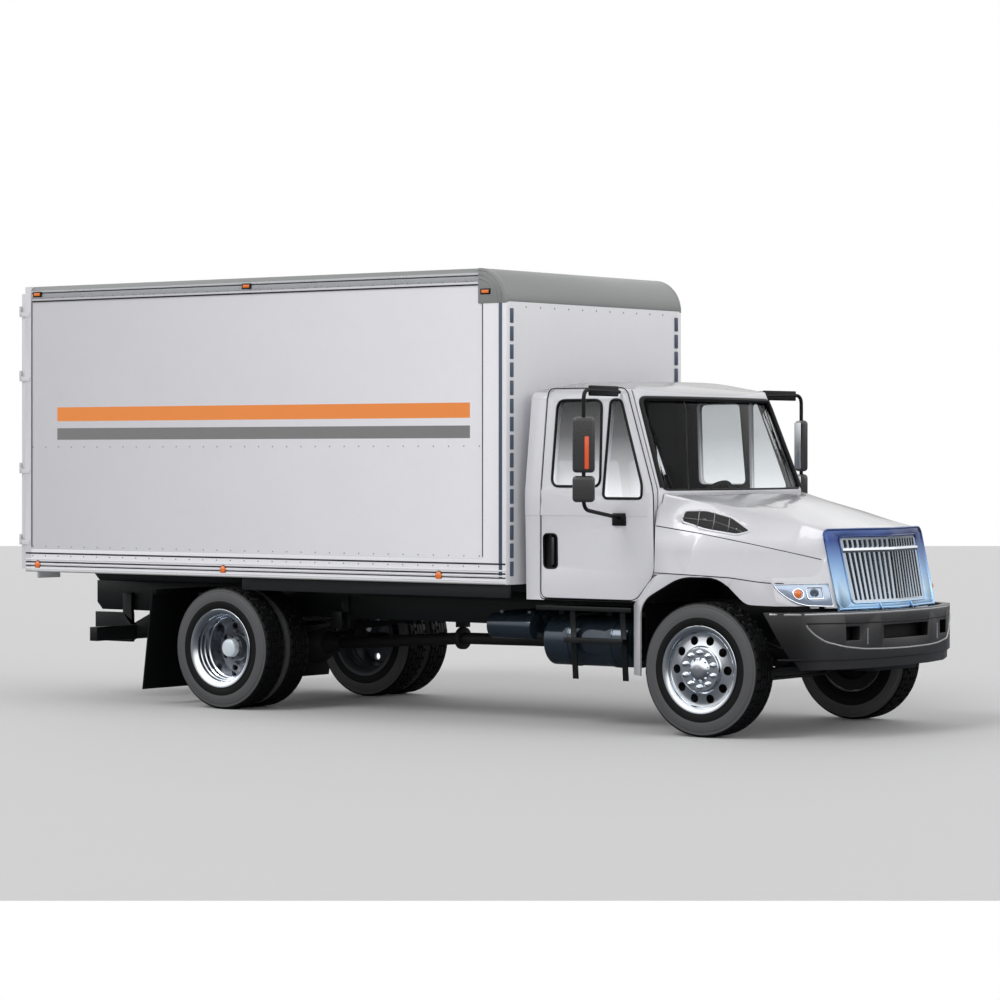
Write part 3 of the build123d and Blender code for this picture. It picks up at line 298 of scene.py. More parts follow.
for name, (color, rough, metal, coat, *grain, bump, shine) in finishes.items():
    others = {"Metallic": metal, "Specular IOR Level": shine, "Coat Weight": coat, "Coat Roughness": 0.05}
    tree, shader, group = makeMaterial(name, color, rough, grain, others)
    if bump:
        inputs = {"Strength": bump, "Distance": bumpDistance, "Height": group.outputs["Height"]}
        fill(tree, shader, {"Normal": addNode(tree, "ShaderNodeBump", inputs).outputs["Normal"]})


def makeRamp(tree, stops, axis="Z"):
    # a colour by height, or by the distance from the middle; each stop is in metres
    low, high = stops[0][0], stops[-1][0]
    inputs = {"Value": calc(tree, "ABSOLUTE", objectPlace(tree)[axis]), "From Min": low, "From Max": high}
    share = addNode(tree, "ShaderNodeMapRange", inputs)
    ramp = addNode(tree, "ShaderNodeValToRGB", {"Fac": share.outputs["Result"]})
    elements = ramp.color_ramp.elements
    while len(elements) < len(stops):
        elements.new(0.5)
    for element, (height, color) in zip(elements, stops):
        element.position = (height - low) / (high - low)
        element.color = (*color, 1)
    return ramp.outputs["Color"]


glasses = {
    # name: tint, bending of light, painted reflection glowing by height
    "windowGlass": ((0.66, 0.68, 0.685), 1.14, None),
    # painted reflection: the side glass glows lighter towards its foot
    "sideGlass": ((0.62, 0.64, 0.65), 1.45, [(1.78, (0.44, 0.44, 0.45)), (1.98, (0.24, 0.24, 0.245)),
                                             (2.26, (0.05, 0.05, 0.052)), (2.5, (0.004, 0.004, 0.004))]),
}
for name, (tint, bend, paintedSheen) in glasses.items():
    others = {"Transmission Weight": 1, "IOR": bend}
    tree, shader, group = makeMaterial(name, tint, 0.02, (8, 0.04, 0.02), others)
    # painted reflection: an emission ramp by height
    if paintedSheen:
        fill(tree, shader, {"Emission Color": makeRamp(tree, paintedSheen), "Emission Strength": 1})


rampFinishes = {
    # name: axis, stops, roughness, metallic, coat, grain scale, tone change, roughness change
    # blue chrome that darkens towards the top, as if it mirrored a horizon
    "grilleChrome": ("Z", [(0.955, (0.36, 0.6, 0.9)), (1.08, (0.56, 0.76, 0.96)),
                           (1.22, (0.36, 0.56, 0.84)), (1.36, (0.16, 0.27, 0.54)),
                           (1.47, (0.04, 0.07, 0.23)), (1.56, (0.08, 0.13, 0.32))],
                     0.14, 0.75, 0, 30, 0.05, 0.06),
    # painted reflection: light and dark bands by height on the hood's white paint
    "hoodPaint": ("Z", [(1.15, (0.65, 0.65, 0.69)), (1.38, (0.62, 0.62, 0.655)), (1.48, (0.74, 0.74, 0.78)),
                        (1.58, (0.68, 0.68, 0.715)), (1.7, (0.56, 0.56, 0.59)), (1.85, (0.54, 0.54, 0.565))],
                  0.22, 0, 0.5, 30, 0.03, 0.08),
    # painted light: the front wall lighter towards the top
    "frontWall": ("Z", [(1.2, (0.74, 0.74, 0.765)), (2.5, (0.8, 0.8, 0.83)), (3.3, (0.9, 0.9, 0.93))],
                  0.34, 0, 0.15, 14, 0.035, 0.1),
    # painted shade: the bumper darker towards its ends
    "bumperGrey": ("Y", [(0.0, (0.03, 0.03, 0.032)), (0.94, (0.03, 0.03, 0.032)),
                         (1.08, (0.012, 0.012, 0.013)), (1.22, (0.003, 0.003, 0.0035))],
                   0.36, 0.1, 0.12, 60, 0.2, 0.15),
}
for name, (axis, stops, rough, metal, coat, *grain) in rampFinishes.items():
    makeMaterial(name, lambda tree: makeRamp(tree, stops, axis), rough, grain,
                 {"Metallic": metal, "Coat Weight": coat})

stripes = {
    "rear": -3.62,
    "front": 0.86,
    "depth": (1.2, 2.0),
    "bands": [((2.4, 2.52), (0.93, 0.29, 0.06, 1)), ((2.24, 2.34), (0.22, 0.22, 0.22, 1))],
    # painted shade: the side's tone slopes from darker at the rear to lighter at the front
    "slope": (-4.0, 1.2),
    "shadedRearTone": (0.62, 0.62, 0.655, 1),
    "litFrontTone": (0.87, 0.87, 0.91, 1),
}


def sideColor(tree):
    # the load body's side: off-white with painted shade that makes it a little darker to the rear, and two
    # plain level stripes
    place = objectPlace(tree)

    def between(socket, low, high):
        return calc(tree, "MULTIPLY", calc(tree, "GREATER_THAN", socket, low),
                    calc(tree, "LESS_THAN", socket, high))

    def mixed(mask, first, second):
        inputs = {"Factor": mask, "A": first, "B": second}
        return addNode(tree, "ShaderNodeMix", inputs, data_type="RGBA").outputs["Result"]

    # painted shade: darker towards the rear
    low, high = stripes["slope"]
    slope = addNode(tree, "ShaderNodeMapRange", {"Value": place["X"], "From Min": low, "From Max": high})
    base = mixed(slope.outputs["Result"], stripes["shadedRearTone"], stripes["litFrontTone"])
    outer = between(calc(tree, "ABSOLUTE", place["Y"]), *stripes["depth"])
    length = calc(tree, "MULTIPLY", between(place["X"], stripes["rear"], stripes["front"]), outer)
    for ends, color in stripes["bands"]:
        base = mixed(calc(tree, "MULTIPLY", length, between(place["Z"], *ends)), base, color)
    return base


makeMaterial("sidePaint", sideColor, 0.32, (12, 0.03, 0.1), {"Coat Weight": 0.2})
print("materials made:", len(materials))

# The CAD nodes by finish
finishedNodes = {
    "castIron": "knuckle_left knuckle_right tie_rod leaf_springs rear_axle driveshaft engine_block radiator",
    "frameBlack": "front_axle frame_rails frame_crossmembers cab_steps rear_bumper cab_floor",
    "cabPaint": "cab_back cab_roof cab_front door_left door_right",
    "sideGlass": "door_glass_left door_glass_right",
    "mirrorShell": "mirror_left mirror_right",
    "blackPlastic": "steering_wheel wheel_liners hood_vents",
    "roofAlloy": "body_front_cap body_roof",
    "wallPaint": "rear_frame cargo_door_left cargo_door_right",
    "tyreRubber": "tyre_front_left tyre_front_right tyres_rear_left tyres_rear_right",
    "wheelChrome": "rim_front_left rim_front_right rims_rear_left rims_rear_right",
    "tankPaint": "side_tanks",
    "bumperGrey": "front_bumper",
    "flapRubber": "mudflaps",
    "windowGlass": "windscreen",
    "dashPlastic": "dashboard",
    "seatCloth": "seats",
    "hoodPaint": "hood",
    "grilleChrome": "grille",
    "lampLens": "headlamps",
    "sidePaint": "body_side_walls",
    "frontWall": "body_front_wall",
    "brightAlloy": "body_rails",
    "sillDark": "body_floor",
    "amberLens": "marker_lamps",
    "redLens": "tail_lamps",
}


def paint(obj, finish):
    obj.data.materials.clear()
    obj.data.materials.append(materials[finish])


nodeFinish = {name: finish for finish, names in finishedNodes.items() for name in names.split()}
for name, finish in nodeFinish.items():
    paint(nodes[name], finish)


# Ways of making pieces
def activate(obj):
    bpy.ops.object.select_all(action="DESELECT")
    obj.select_set(True)
    bpy.context.view_layer.objects.active = obj


def selectAll():
    bpy.ops.mesh.select_all(action="SELECT")


def inEditMode(obj, action):
    activate(obj)
    bpy.ops.object.mode_set(mode="EDIT")
    bpy.ops.mesh.select_mode(type="FACE")
    action()
    bpy.ops.object.mode_set(mode="OBJECT")


def bevelled(obj, width, segments=2, angle=30):
    activate(obj)
    edges = obj.modifiers.new("edges", "BEVEL")
    edges.width = width
    edges.segments = segments
    edges.limit_method = "ANGLE"
    edges.angle_limit = math.radians(angle)
    bpy.ops.object.modifier_apply(modifier="edges")
    return obj


def ringTower(rows, steps):
    # a circle extruded ring by ring up Z; each row is a radius and a height
    bpy.ops.mesh.primitive_circle_add(vertices=steps, radius=rows[0][0], location=(0, 0, 0))
    obj = bpy.context.object
    activate(obj)
    bpy.ops.object.mode_set(mode="EDIT")
    bpy.ops.mesh.select_mode(type="VERT")
    selectAll()
    bpy.ops.transform.translate(value=(0, 0, rows[0][1]))
    for (radius, height), (nextRadius, nextHeight) in zip(rows, rows[1:]):
        bpy.ops.mesh.extrude_region_move(TRANSFORM_OT_translate={"value": (0, 0, nextHeight - height)})
        ratio = nextRadius / radius
        bpy.ops.transform.resize(value=(ratio, ratio, 1), center_override=(0, 0, nextHeight))
    selectAll()
    bpy.ops.mesh.remove_doubles(threshold=0.00005)
    bpy.ops.mesh.normals_make_consistent(inside=False)
    bpy.ops.mesh.select_all(action="DESELECT")
    bpy.ops.object.mode_set(mode="OBJECT")
    return obj


def at(place):
    return Matrix.Translation(place)


def turned(degrees, axis):
    return Matrix.Rotation(math.radians(degrees), 4, axis)


def wheelPlace(x, y, side):
    return at((x, side * y, axleHeight)) @ turned(-90 * side, "X")


def finishPiece(obj, name, body, material=None, replaced=(), smooth=35):
    # name it, shade it, give it its finish and let it ride
    activate(obj)
    bpy.ops.object.transform_apply()
    obj.name = name
    obj.data.name = name
    if smooth:
        bpy.ops.object.shade_smooth_by_angle(angle=math.radians(smooth))
    if material:
        paint(obj, material)
    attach(obj, body)
    if replaced:
        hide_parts(*replaced)
    return obj


def copyAt(obj, matrix):
    twin = obj.copy()
    twin.data = obj.data.copy()
    twin.data.transform(matrix)
    if matrix.determinant() < 0:
        twin.data.flip_normals()
    bpy.context.scene.collection.objects.link(twin)
    return twin


def joined(objects):
    activate(objects[0])
    for obj in objects[1:]:
        obj.select_set(True)
    if len(objects) > 1:
        bpy.ops.object.join()
    return bpy.context.object


def repeated(obj, places):
    # one piece from many copies of obj; obj itself goes
    copies = [copyAt(obj, place) for place in places]
    bpy.data.objects.remove(obj)
    return joined(copies)


def ringOf(obj, count, startTurn=0, place=(0, 0, 0)):
    # copies of obj at a place, turned about Z all round
    turns = [Matrix.Rotation(2 * math.pi * (i + startTurn) / count, 4, "Z") for i in range(count)]
    return repeated(obj, [turn @ at(place) for turn in turns])


def selectFaces(obj, wanted):
    # in object mode: select the faces for which wanted(centre, normal) is true
    for items in (obj.data.edges, obj.data.vertices):
        items.foreach_set("select", [False] * len(items))
    for face in obj.data.polygons:
        face.select = bool(wanted(face.center, face.normal))


# Tyres
tyre = {
    "steps": 120,
    "wall": [(0.287, 0.106), (0.291, 0.114), (0.299, 0.1195), (0.307, 0.1215), (0.313, 0.1195),
             (0.328, 0.1255), (0.352, 0.13), (0.384, 0.1322), (0.392, 0.1305), (0.399, 0.1305),
             (0.406, 0.1322), (0.432, 0.13), (0.456, 0.1255), (0.463, 0.1235), (0.468, 0.118),
             (0.476, 0.1185), (0.487, 0.116), (0.497, 0.111), (0.5035, 0.102)],
    "ribs": [(0.5045, 0.066), (0.4935, 0.064), (0.4935, 0.056), (0.505, 0.054),
             (0.505, 0.024), (0.4935, 0.022), (0.4935, 0.014), (0.505, 0.012)],
    "notch": 0.009,
    "notchEdge": 0.0035,
    "blockEdges": (0.066, 0.112),
    "blockRadii": (0.502, 0.48),
    # painted light: the grey ring stands in for the lit part of the sidewall's bulge
    "paintedLitRing": (0.39, 0.488),
}


def makeTyre():
    steps = tyre["steps"]
    half = tyre["wall"] + tyre["ribs"]
    obj = ringTower(half + [(r, -y) for r, y in half[::-1]], steps)
    inner, outer = tyre["blockEdges"]
    innerRadius, outerRadius = tyre["blockRadii"]

    def onTread(centre, normal):
        # every third face of the shoulders, and every fourth of the middle ribs
        radius = math.hypot(centre.x, centre.y)
        share = int((math.atan2(centre.y, centre.x) / (2 * math.pi) + 1) * steps + 0.01) % steps
        if abs(centre.z) < inner:
            return radius > innerRadius and (share + (2 if centre.z > 0 else 0)) % 4 == 0
        return inner < abs(centre.z) < outer and radius > outerRadius and share % 3 == 0

    selectFaces(obj, onTread)
    inEditMode(obj, lambda: bpy.ops.mesh.inset(thickness=tyre["notchEdge"], depth=-tyre["notch"],
                                               use_individual=True))
    # painted light: a grey ring on the sidewall instead of light on its bulge
    low, high = tyre["paintedLitRing"]
    return paintWheel(obj, [("tyreRubber", lambda r, z, n: True),
                            ("sidewallGrey", lambda r, z, n: low < r < high)])


def paintWheel(obj, rules):
    # finishes by radius and height on the wheel's own axis; the last rule that fits a face holds
    obj.data.materials.clear()
    for finish, test in rules:
        obj.data.materials.append(materials[finish])
    for face in obj.data.polygons:
        radius = math.hypot(face.center.x, face.center.y)
        for number, (finish, test) in enumerate(rules):
            if test(radius, face.center.z, face.normal):
                face.material_index = number
    return obj


axles = {
    # name: place, distances of its tyres from the middle, names of the CAD tyres and rims
    "front": (frontAxle, [frontWheelY], "tyre_front_", "rim_front_"),
    "rear": (rearAxle, [rearWheelY, rearWheelY - twinSpacing], "tyres_rear_", "rims_rear_"),
}
tyreModel = makeTyre()
for axle, (x, distances, node, rim) in axles.items():
    for side, hand in sides:
        obj = joined([copyAt(tyreModel, wheelPlace(x, y, side)) for y in distances])
        finishPiece(obj, node.replace("tyre", "treadedTyre") + hand, "wheel_" + axle + "_" + hand,
                    None, (node + hand,))
bpy.data.objects.remove(tyreModel)
print("tyres made")

# Wheels
wheel = {
    "steps": 96,
    "frontRim": [(0.2865, -0.115), (0.2865, 0.115), (0.3, 0.12), (0.318, 0.1255), (0.328, 0.1295),
                 (0.331, 0.1325), (0.328, 0.135), (0.317, 0.1345), (0.302, 0.1295), (0.293, 0.123),
                 (0.288, 0.112), (0.284, 0.098), (0.276, 0.09), (0.26, 0.087), (0.24, 0.088),
                 (0.205, 0.093), (0.18, 0.099), (0.172, 0.108), (0.169, 0.124), (0.164, 0.128),
                 (0.15, 0.129), (0.09, 0.129), (0.09, 0.118), (0.145, 0.116), (0.158, 0.11),
                 (0.164, 0.088), (0.205, 0.081), (0.24, 0.076), (0.26, 0.074), (0.27, 0.07),
                 (0.2735, 0.06), (0.2735, -0.115), (0.2865, -0.115)],
    "frontHub": [(0.0002, 0.164), (0.036, 0.163), (0.06, 0.159), (0.074, 0.15), (0.082, 0.138),
                 (0.088, 0.132), (0.092, 0.13), (0.092, 0.124), (0.0002, 0.124)],
    "frontDrum": [(0.045, 0.0017), (0.175, 0.0017), (0.198, -0.02), (0.205, -0.058), (0.205, -0.066),
                  (0.211, -0.068), (0.211, -0.08), (0.205, -0.082), (0.205, -0.104), (0.211, -0.106),
                  (0.271, -0.106), (0.271, -0.11), (0.187, -0.112), (0.187, -0.058), (0.045, -0.018)],
    "frontNuts": {"count": 10, "startTurn": 0.5, "place": (0.129, 0, 0.1285)},
    "frontHoles": {"count": 10, "circle": 0.226, "radius": 0.034, "low": 0.02, "high": 0.13},
    "rearRim": [(0.2865, -0.115), (0.2865, 0.115), (0.3, 0.12), (0.315, 0.125), (0.324, 0.129),
                (0.327, 0.132), (0.324, 0.1345), (0.312, 0.1335), (0.298, 0.1285), (0.289, 0.12),
                (0.28, 0.112), (0.2735, 0.102), (0.2735, -0.115), (0.2865, -0.115)],
    "rearBowl": [(0.2732, 0.09), (0.2732, 0.07), (0.266, 0.064), (0.264, 0.03), (0.256, 0.024),
                 (0.254, -0.015), (0.244, -0.022), (0.242, -0.07), (0.234, -0.11), (0.223, -0.136),
                 (0.19, -0.139), (0.1, -0.139), (0.1, -0.152), (0.223, -0.152), (0.242, -0.133),
                 (0.256, -0.098), (0.2732, -0.086), (0.2732, 0.09)],
    "rearHub": [(0.0002, 0.04), (0.034, 0.039), (0.056, 0.035), (0.07, 0.027), (0.076, 0.012),
                (0.078, -0.02), (0.09, -0.024), (0.092, -0.03), (0.098, -0.034), (0.102, -0.09),
                (0.112, -0.096), (0.112, -0.138), (0.0002, -0.138)],
    "rearHoles": {"count": 8, "circle": 0.185, "radius": 0.03, "low": -0.2, "high": -0.1, "startTurn": 0.5},
    "rearNuts": {"count": 10, "place": (0.1425, 0, -0.139)},
    "capNuts": {"count": 8, "place": (0.088, 0, -0.031)},
}


def cutHoles(obj, count, circle, radius, low, high, startTurn=0):
    bpy.ops.mesh.primitive_cylinder_add(vertices=24, radius=radius, depth=high - low,
                                        location=(circle, 0, (high + low) / 2))
    cutter = bpy.context.object
    activate(cutter)
    bpy.ops.object.transform_apply()
    cutter = ringOf(cutter, count, startTurn)
    activate(obj)
    cut = obj.modifiers.new("holes", "BOOLEAN")
    cut.operation = "DIFFERENCE"
    cut.object = cutter
    cut.solver = "EXACT"
    bpy.ops.object.modifier_apply(modifier="holes")
    bpy.data.objects.remove(cutter)
    return obj


def makeNut(height, radius=0.0185):
    # a hexagon nut with a domed cover on a round washer
    washer = ringTower([(0.0002, 0), (radius * 1.25, 0), (radius * 1.25, 0.004), (radius * 1.08, 0.005),
                        (0.0002, 0.0052)], 16)
    bpy.ops.mesh.primitive_cylinder_add(vertices=6, radius=radius, depth=height,
                                        location=(0, 0, height / 2 + 0.004))
    nut = bpy.context.object
    activate(nut)
    bpy.ops.object.transform_apply()
    selectFaces(nut, lambda centre, normal: normal.z > 0.9)
    inEditMode(nut, lambda: (bpy.ops.mesh.inset(thickness=radius * 0.25, depth=0.004),
                             bpy.ops.mesh.inset(thickness=radius * 0.25, depth=0.003)))
    return joined([washer, bevelled(nut, 0.0012)])


def makeFrontWheel():
    rim = cutHoles(ringTower(wheel["frontRim"], wheel["steps"]), **wheel["frontHoles"])
    hub = ringTower(wheel["frontHub"], 48)
    whole = joined([rim, hub, ringOf(makeNut(0.024), **wheel["frontNuts"])])
    # painted shade: the barrel's inside and the faces turned inward are darker
    return paintWheel(whole, [("wheelChrome", lambda r, z, n: True),
                              ("rimShade", lambda r, z, n: z < 0.062 or (n.z < -0.3 and r < 0.27))])


def makeRearWheel():
    rim = ringTower(wheel["rearRim"], wheel["steps"])
    toTwin = at((0, 0, -twinSpacing)) @ Matrix.Diagonal((1, 1, -1, 1))
    inner = copyAt(rim, toTwin)
    bowl = cutHoles(ringTower(wheel["rearBowl"], wheel["steps"]), **wheel["rearHoles"])
    back = copyAt(bowl, toTwin)
    hub = ringTower(wheel["rearHub"], 48)
    whole = joined([rim, inner, bowl, back, hub, ringOf(makeNut(0.03), **wheel["rearNuts"]),
                    ringOf(makeNut(0.014, 0.009), **wheel["capNuts"])])
    # painted shade: the inner twin, the hub's body and the recessed bowl are darker
    return paintWheel(whole, [("wheelChrome", lambda r, z, n: True),
                              ("rimShade", lambda r, z, n: z < -0.15 or r < 0.12),
                              ("bowlShade", lambda r, z, n: z > -0.15 and (z < -0.125 or 0.12 < r < 0.224)),
                              ("hubBright", lambda r, z, n: r < 0.0785 and z > -0.021)])


wheelModels = [
    # model, name, axle, slot, finish
    (makeFrontWheel(), "frontWheel_", "front", "wheel_chrome", None),
    (makeRearWheel(), "rearWheels_", "rear", "wheel_chrome", None),
    (ringTower(wheel["frontDrum"], 64), "frontDrum_", "front", "dark_metal", "castIron"),
]
for model, title, axle, slotName, finish in wheelModels:
    x, distances, node, rim = axles[axle]
    for side, hand in sides:
        copy = copyAt(model, wheelPlace(x, distances[0], side))
        finishPiece(copy, title + hand, "wheel_" + axle + "_" + hand, finish, (rim + hand,), 30)
    bpy.data.objects.remove(model)
print("wheels made")


# Copies of CAD panels, merged, with rounded edges and smooth faces
def nodeCopy(name):
    obj = nodes[name].copy()
    obj.data = nodes[name].data.copy()
    bpy.context.scene.collection.objects.link(obj)
    return obj


def softened(node, width, blend, inner=()):
    obj = nodeCopy(node)
    obj.parent = None
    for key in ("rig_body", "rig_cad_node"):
        if key in obj:
            del obj[key]
    obj.hide_render = False
    paint(obj, nodeFinish[node])

    def merge():
        selectAll()
        bpy.ops.mesh.remove_doubles(threshold=0.00008)
        bpy.ops.mesh.dissolve_limited(angle_limit=math.radians(1.5))
        bpy.ops.mesh.select_all(action="DESELECT")

    inEditMode(obj, merge)
    if width:
        bevelled(obj, width, 2, blend)
    for number, (finish, test) in enumerate(inner, 1):
        obj.data.materials.append(materials[finish])
        for face in obj.data.polygons:
            if test(face.center, face.normal):
                face.material_index = number
    finishPiece(obj, "soft_" + node, nodes[node]["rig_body"], None, (node,), blend)


# Tests of a CAD face by its middle and its normal
def insideCab(p, n):
    # a face of the cab's shell that looks into the cabin
    side = abs(p.y) > 0.86 and n.y * p.y < -0.3 and abs(p.y) < 1.03
    over = n.z < -0.5 and p.z > 2.45
    back = n.x > 0.5 and p.x < frontAxle - 1.64
    ahead = n.x < -0.4 and p.x > frontAxle - 1.2 and p.z > 1.05
    under = n.z > 0.5 and p.z < 1.06
    return side or over or back or ahead or under


def firewall(p, n):
    # the cab's front and underside behind the hood
    return (n.x > 0.3 and p.z < 1.5 and abs(p.y) < 0.97) or (n.z < -0.5 and p.z < 1.1)


def bumperInside(p, n):
    # the walls of the bumper's openings and its back, which take black as painted shade
    between = 0.68 < p.z < 0.9 and abs(p.y) < 0.95
    return n.x < -0.3 or (between and (abs(n.z) > 0.7 or abs(n.y) > 0.85))


def handleWell(p, n):
    return frontAxle - 1.556 < p.x < frontAxle - 1.42 and 1.228 < p.z < 1.499 and 1.015 < abs(p.y) < 1.0545


def insideHood(p, n):
    # a face that looks into the engine bay or down, but not on the flaps behind the wheels
    flap = p.x < frontAxle - 0.38 and p.z < 1.18
    return not flap and (n.y * p.y < -0.02 or n.z < -0.35 or n.x < -0.5)


def grilleSlat(p, n):
    # a face of the slats and of what frames them inside the opening
    return 1.01 < p.z < 1.485 and abs(p.y) < 0.5285 + (p.z - 1.006) * 0.056


doorFaces = [("cabinPlastic", lambda p, n: n.y * p.y < -0.3), ("sealBlack", handleWell)]
panelEdges = {
    # node: bevel width, angle up to which faces blend, finishes of some faces
    "cab_front": (0.006, 38, [("cabinPlastic", insideCab), ("frameBlack", firewall)]),
    # painted reflection: the roof's upward faces in a darker grey
    "cab_roof": (0.004, 38, [("cabinPlastic", insideCab), ("roofShade", lambda p, n: n.z > 0.8)]),
    "cab_back": (0.006, 38, [("cabinPlastic", insideCab)]),
    "cab_floor": (0.003, 38, [("blackPlastic", insideCab)]),
    "door_left": (0.005, 38, doorFaces),
    "door_right": (0.005, 38, doorFaces),
    "hood": (0.006, 32, [("blackPlastic", insideHood)]),
    "grille": (0.003, 40, [("slatChrome", grilleSlat)]),
    "front_bumper": (0.014, 40, [("sealBlack", bumperInside)]),
    "body_rails": (0.003, 40, [("roofAlloy", lambda p, n: p.z > 3.512),
                               ("postWhite", lambda p, n: 1.31 < p.z < 3.43)]),
    "steering_wheel": (0, 50),
    "body_floor": (0.002, 40, [("floorWood", lambda p, n: n.z > 0.9 and abs(p.y) < 1.2)]),
}
plainEdges = {
    # bevel width: the nodes that blend up to 40 degrees and keep one finish
    0: "wheel_liners windscreen door_glass_left door_glass_right",
    0.002: "mudflaps",
    0.003: "rear_frame tie_rod body_roof frame_crossmembers frame_rails",
    0.004: "headlamps body_front_cap cargo_door_left cargo_door_right "
           "cab_steps driveshaft leaf_springs radiator",
    0.005: "knuckle_left knuckle_right",
    0.006: "rear_bumper rear_axle front_axle",
    0.008: "dashboard",
    0.01: "side_tanks engine_block",
}
for width, names in plainEdges.items():
    panelEdges.update({name: (width, 40) for name in names.split()})
for node, settings in panelEdges.items():
    softened(node, *settings)
print("panels softened:", len(panelEdges))


# Paths and small repeated pieces
def spot(x, y, z):
    # a place in millimetres from the ground under the middle of the front axle
    return Vector((x / 1000 + frontAxle, y / 1000, z / 1000))


def roundedPath(points, radius, closed=True, steps=5):
    # the points of a path with its corners rounded off; flat points get a third part of nought
    corners = [Vector(point).to_3d() for point in points]
    count = len(corners)
    path = []
    for i, corner in enumerate(corners):
        if not closed and i in (0, count - 1):
            path.append(corner)
            continue
        before = corners[i - 1] - corner
        after = corners[(i + 1) % count] - corner
        reach = min(radius, before.length / 2.1, after.length / 2.1)
        start = corner + before.normalized() * reach
        end = corner + after.normalized() * reach
        for step in range(steps + 1):
            t = step / steps
            path.append(start * (1 - t) ** 2 + corner * 2 * t * (1 - t) + end * t ** 2)
    return path


def subdivided(points, step, closed=False):
    path = [Vector(point).to_3d() for point in points]
    ends = path[1:] + path[:1] if closed else path[1:]
    result = []
    for start, end in zip(path, ends):
        count = max(1, round((end - start).length / step))
        result += [start.lerp(end, i / count) for i in range(count)]
    return result if closed else result + [path[-1]]


def pipe(path, radius, closed=False, around=2):
    curve = bpy.data.curves.new("pipe", "CURVE")
    curve.dimensions = "3D"
    curve.bevel_depth = radius
    curve.bevel_resolution = around
    curve.use_fill_caps = not closed
    spline = curve.splines.new("POLY")
    spline.points.add(len(path) - 1)
    for point, place in zip(spline.points, path):
        point.co = (*place, 1)
    spline.use_cyclic_u = closed
    obj = bpy.data.objects.new("pipe", curve)
    bpy.context.scene.collection.objects.link(obj)
    activate(obj)
    bpy.ops.object.convert(target="MESH")
    return bpy.context.object


def skinOf(*names):
    # the outer faces of some CAD nodes, to lay paths on
    points, faces = [], []
    for name in names:
        piece = nodes[name]
        start = len(points)
        points += [piece.matrix_world @ vertex.co for vertex in piece.data.vertices]
        faces += [[start + i for i in face.vertices] for face in piece.data.polygons]
    return BVHTree.FromPolygons(points, faces)


def laid(skin, path, way, lift=0.0):
    # each point of a path moved along a direction until it meets the skin
    way = Vector(way).normalized()
    result = []
    for point in path:
        hit = skin.ray_cast(point - way * 0.5, way, 1.0)[0]
        result.append((hit or point) - way * lift)
    return result


def cutInStrips(outline, step):
    # in edit mode: straight cuts across the face, level and upright
    for axis, normal in ((0, (1, 0, 0)), (2, (0, 0, 1))):
        low, high = min(p[axis] for p in outline), max(p[axis] for p in outline)
        count = round((high - low) / step)
        for i in range(1, count):
            place = Vector((0, 0, 0))
            place[axis] = low + (high - low) * i / count
            selectAll()
            bpy.ops.mesh.bisect(plane_co=place, plane_no=normal)


def plate(outline, depth, skin=None, lift=0.0, step=0.035):
    # a face with a straight edge all round, from the points of its outline; laid on a skin if there is one
    mesh = bpy.data.meshes.new("plate")
    mesh.from_pydata(outline, [], [list(range(len(outline)))])
    obj = bpy.data.objects.new("plate", mesh)
    bpy.context.scene.collection.objects.link(obj)
    if skin:
        inEditMode(obj, lambda: cutInStrips(outline, step))
        for vertex in mesh.vertices:
            vertex.co = laid(skin, [vertex.co], depth, lift)[0]

    def thicken():
        selectAll()
        bpy.ops.mesh.extrude_region_move(TRANSFORM_OT_translate={"value": depth})
        selectAll()
        bpy.ops.mesh.normals_make_consistent(inside=False)

    inEditMode(obj, thicken)
    return obj


def moved(obj, matrix):
    obj.data.transform(matrix)
    return obj


def blockAt(size, bevel, place, turn=Matrix(), segments=2):
    bpy.ops.mesh.primitive_cube_add(size=1)
    block = bpy.context.object
    block.scale = size
    bpy.ops.object.transform_apply()
    return moved(bevelled(block, bevel, segments), at(place) @ turn)


def facing(way):
    # the turn that points Z along a direction
    return Vector(way).to_track_quat("Z", "Y").to_matrix().to_4x4()


def rivets(places, outward, radius):
    height = 0.003
    head = ringTower([(radius, 0), (radius * 0.92, height * 0.5), (radius * 0.6, height * 0.9),
                      (0.0002, height)], 8)
    return repeated(head, [at(place) @ facing(outward) for place in places])


def row(start, end, pitch):
    # places at a steady pitch from one end to the other
    count = max(1, round((end - start).length / pitch))
    return [start.lerp(end, i / count) for i in range(count + 1)]


# Cab: seals, shut lines, handles and mirrors
cabTrim = {
    "mainWindow": [(-1472, 1866), (-1454, 2532), (-1036, 2532), (-1012, 1866)],
    "ventWindow": [(-981, 1776), (-953, 2532), (-856, 2532), (-624, 1880), (-624, 1776)],
    "screen": [(-988, 1842), (-914, 2543), (914, 2543), (988, 1842)],
    "screenTop": [(-986, 1858), (-914, 2543), (914, 2543), (986, 1858)],
    "windowSeal": 0.011,
    "paneIn": 18,
    "paneThick": 0.004,
    "screenSeal": 0.02,
    "screenFoot": 0.008,
    "door": [(-1586, 999), (-1552, 2624), (-848, 2624), (-804, 2597), (-518, 1834), (-518, 1201),
             (-691, 999)],
    "doorLine": 0.0045,
    "handle": [(-1553, 1231), (-1553, 1496), (-1424, 1496), (-1424, 1231)],
    "handleLine": 0.007,
    "grip": ((0.026, 0.014, 0.215), 0.006),
    "waist": 1828,
    "windowHeight": 872,
}


def upperDoorY(z):
    # how far out the cab's side lies above the waist, in millimetres
    return 1065 - (z - cabTrim["waist"]) * 79 / cabTrim["windowHeight"]


def doorY(z):
    return 1045 + (z - 983) * 20 / 845 if z < cabTrim["waist"] else upperDoorY(z)


def onSide(side, x, z, out=0.0):
    return spot(x, side * (doorY(z) + out), z)


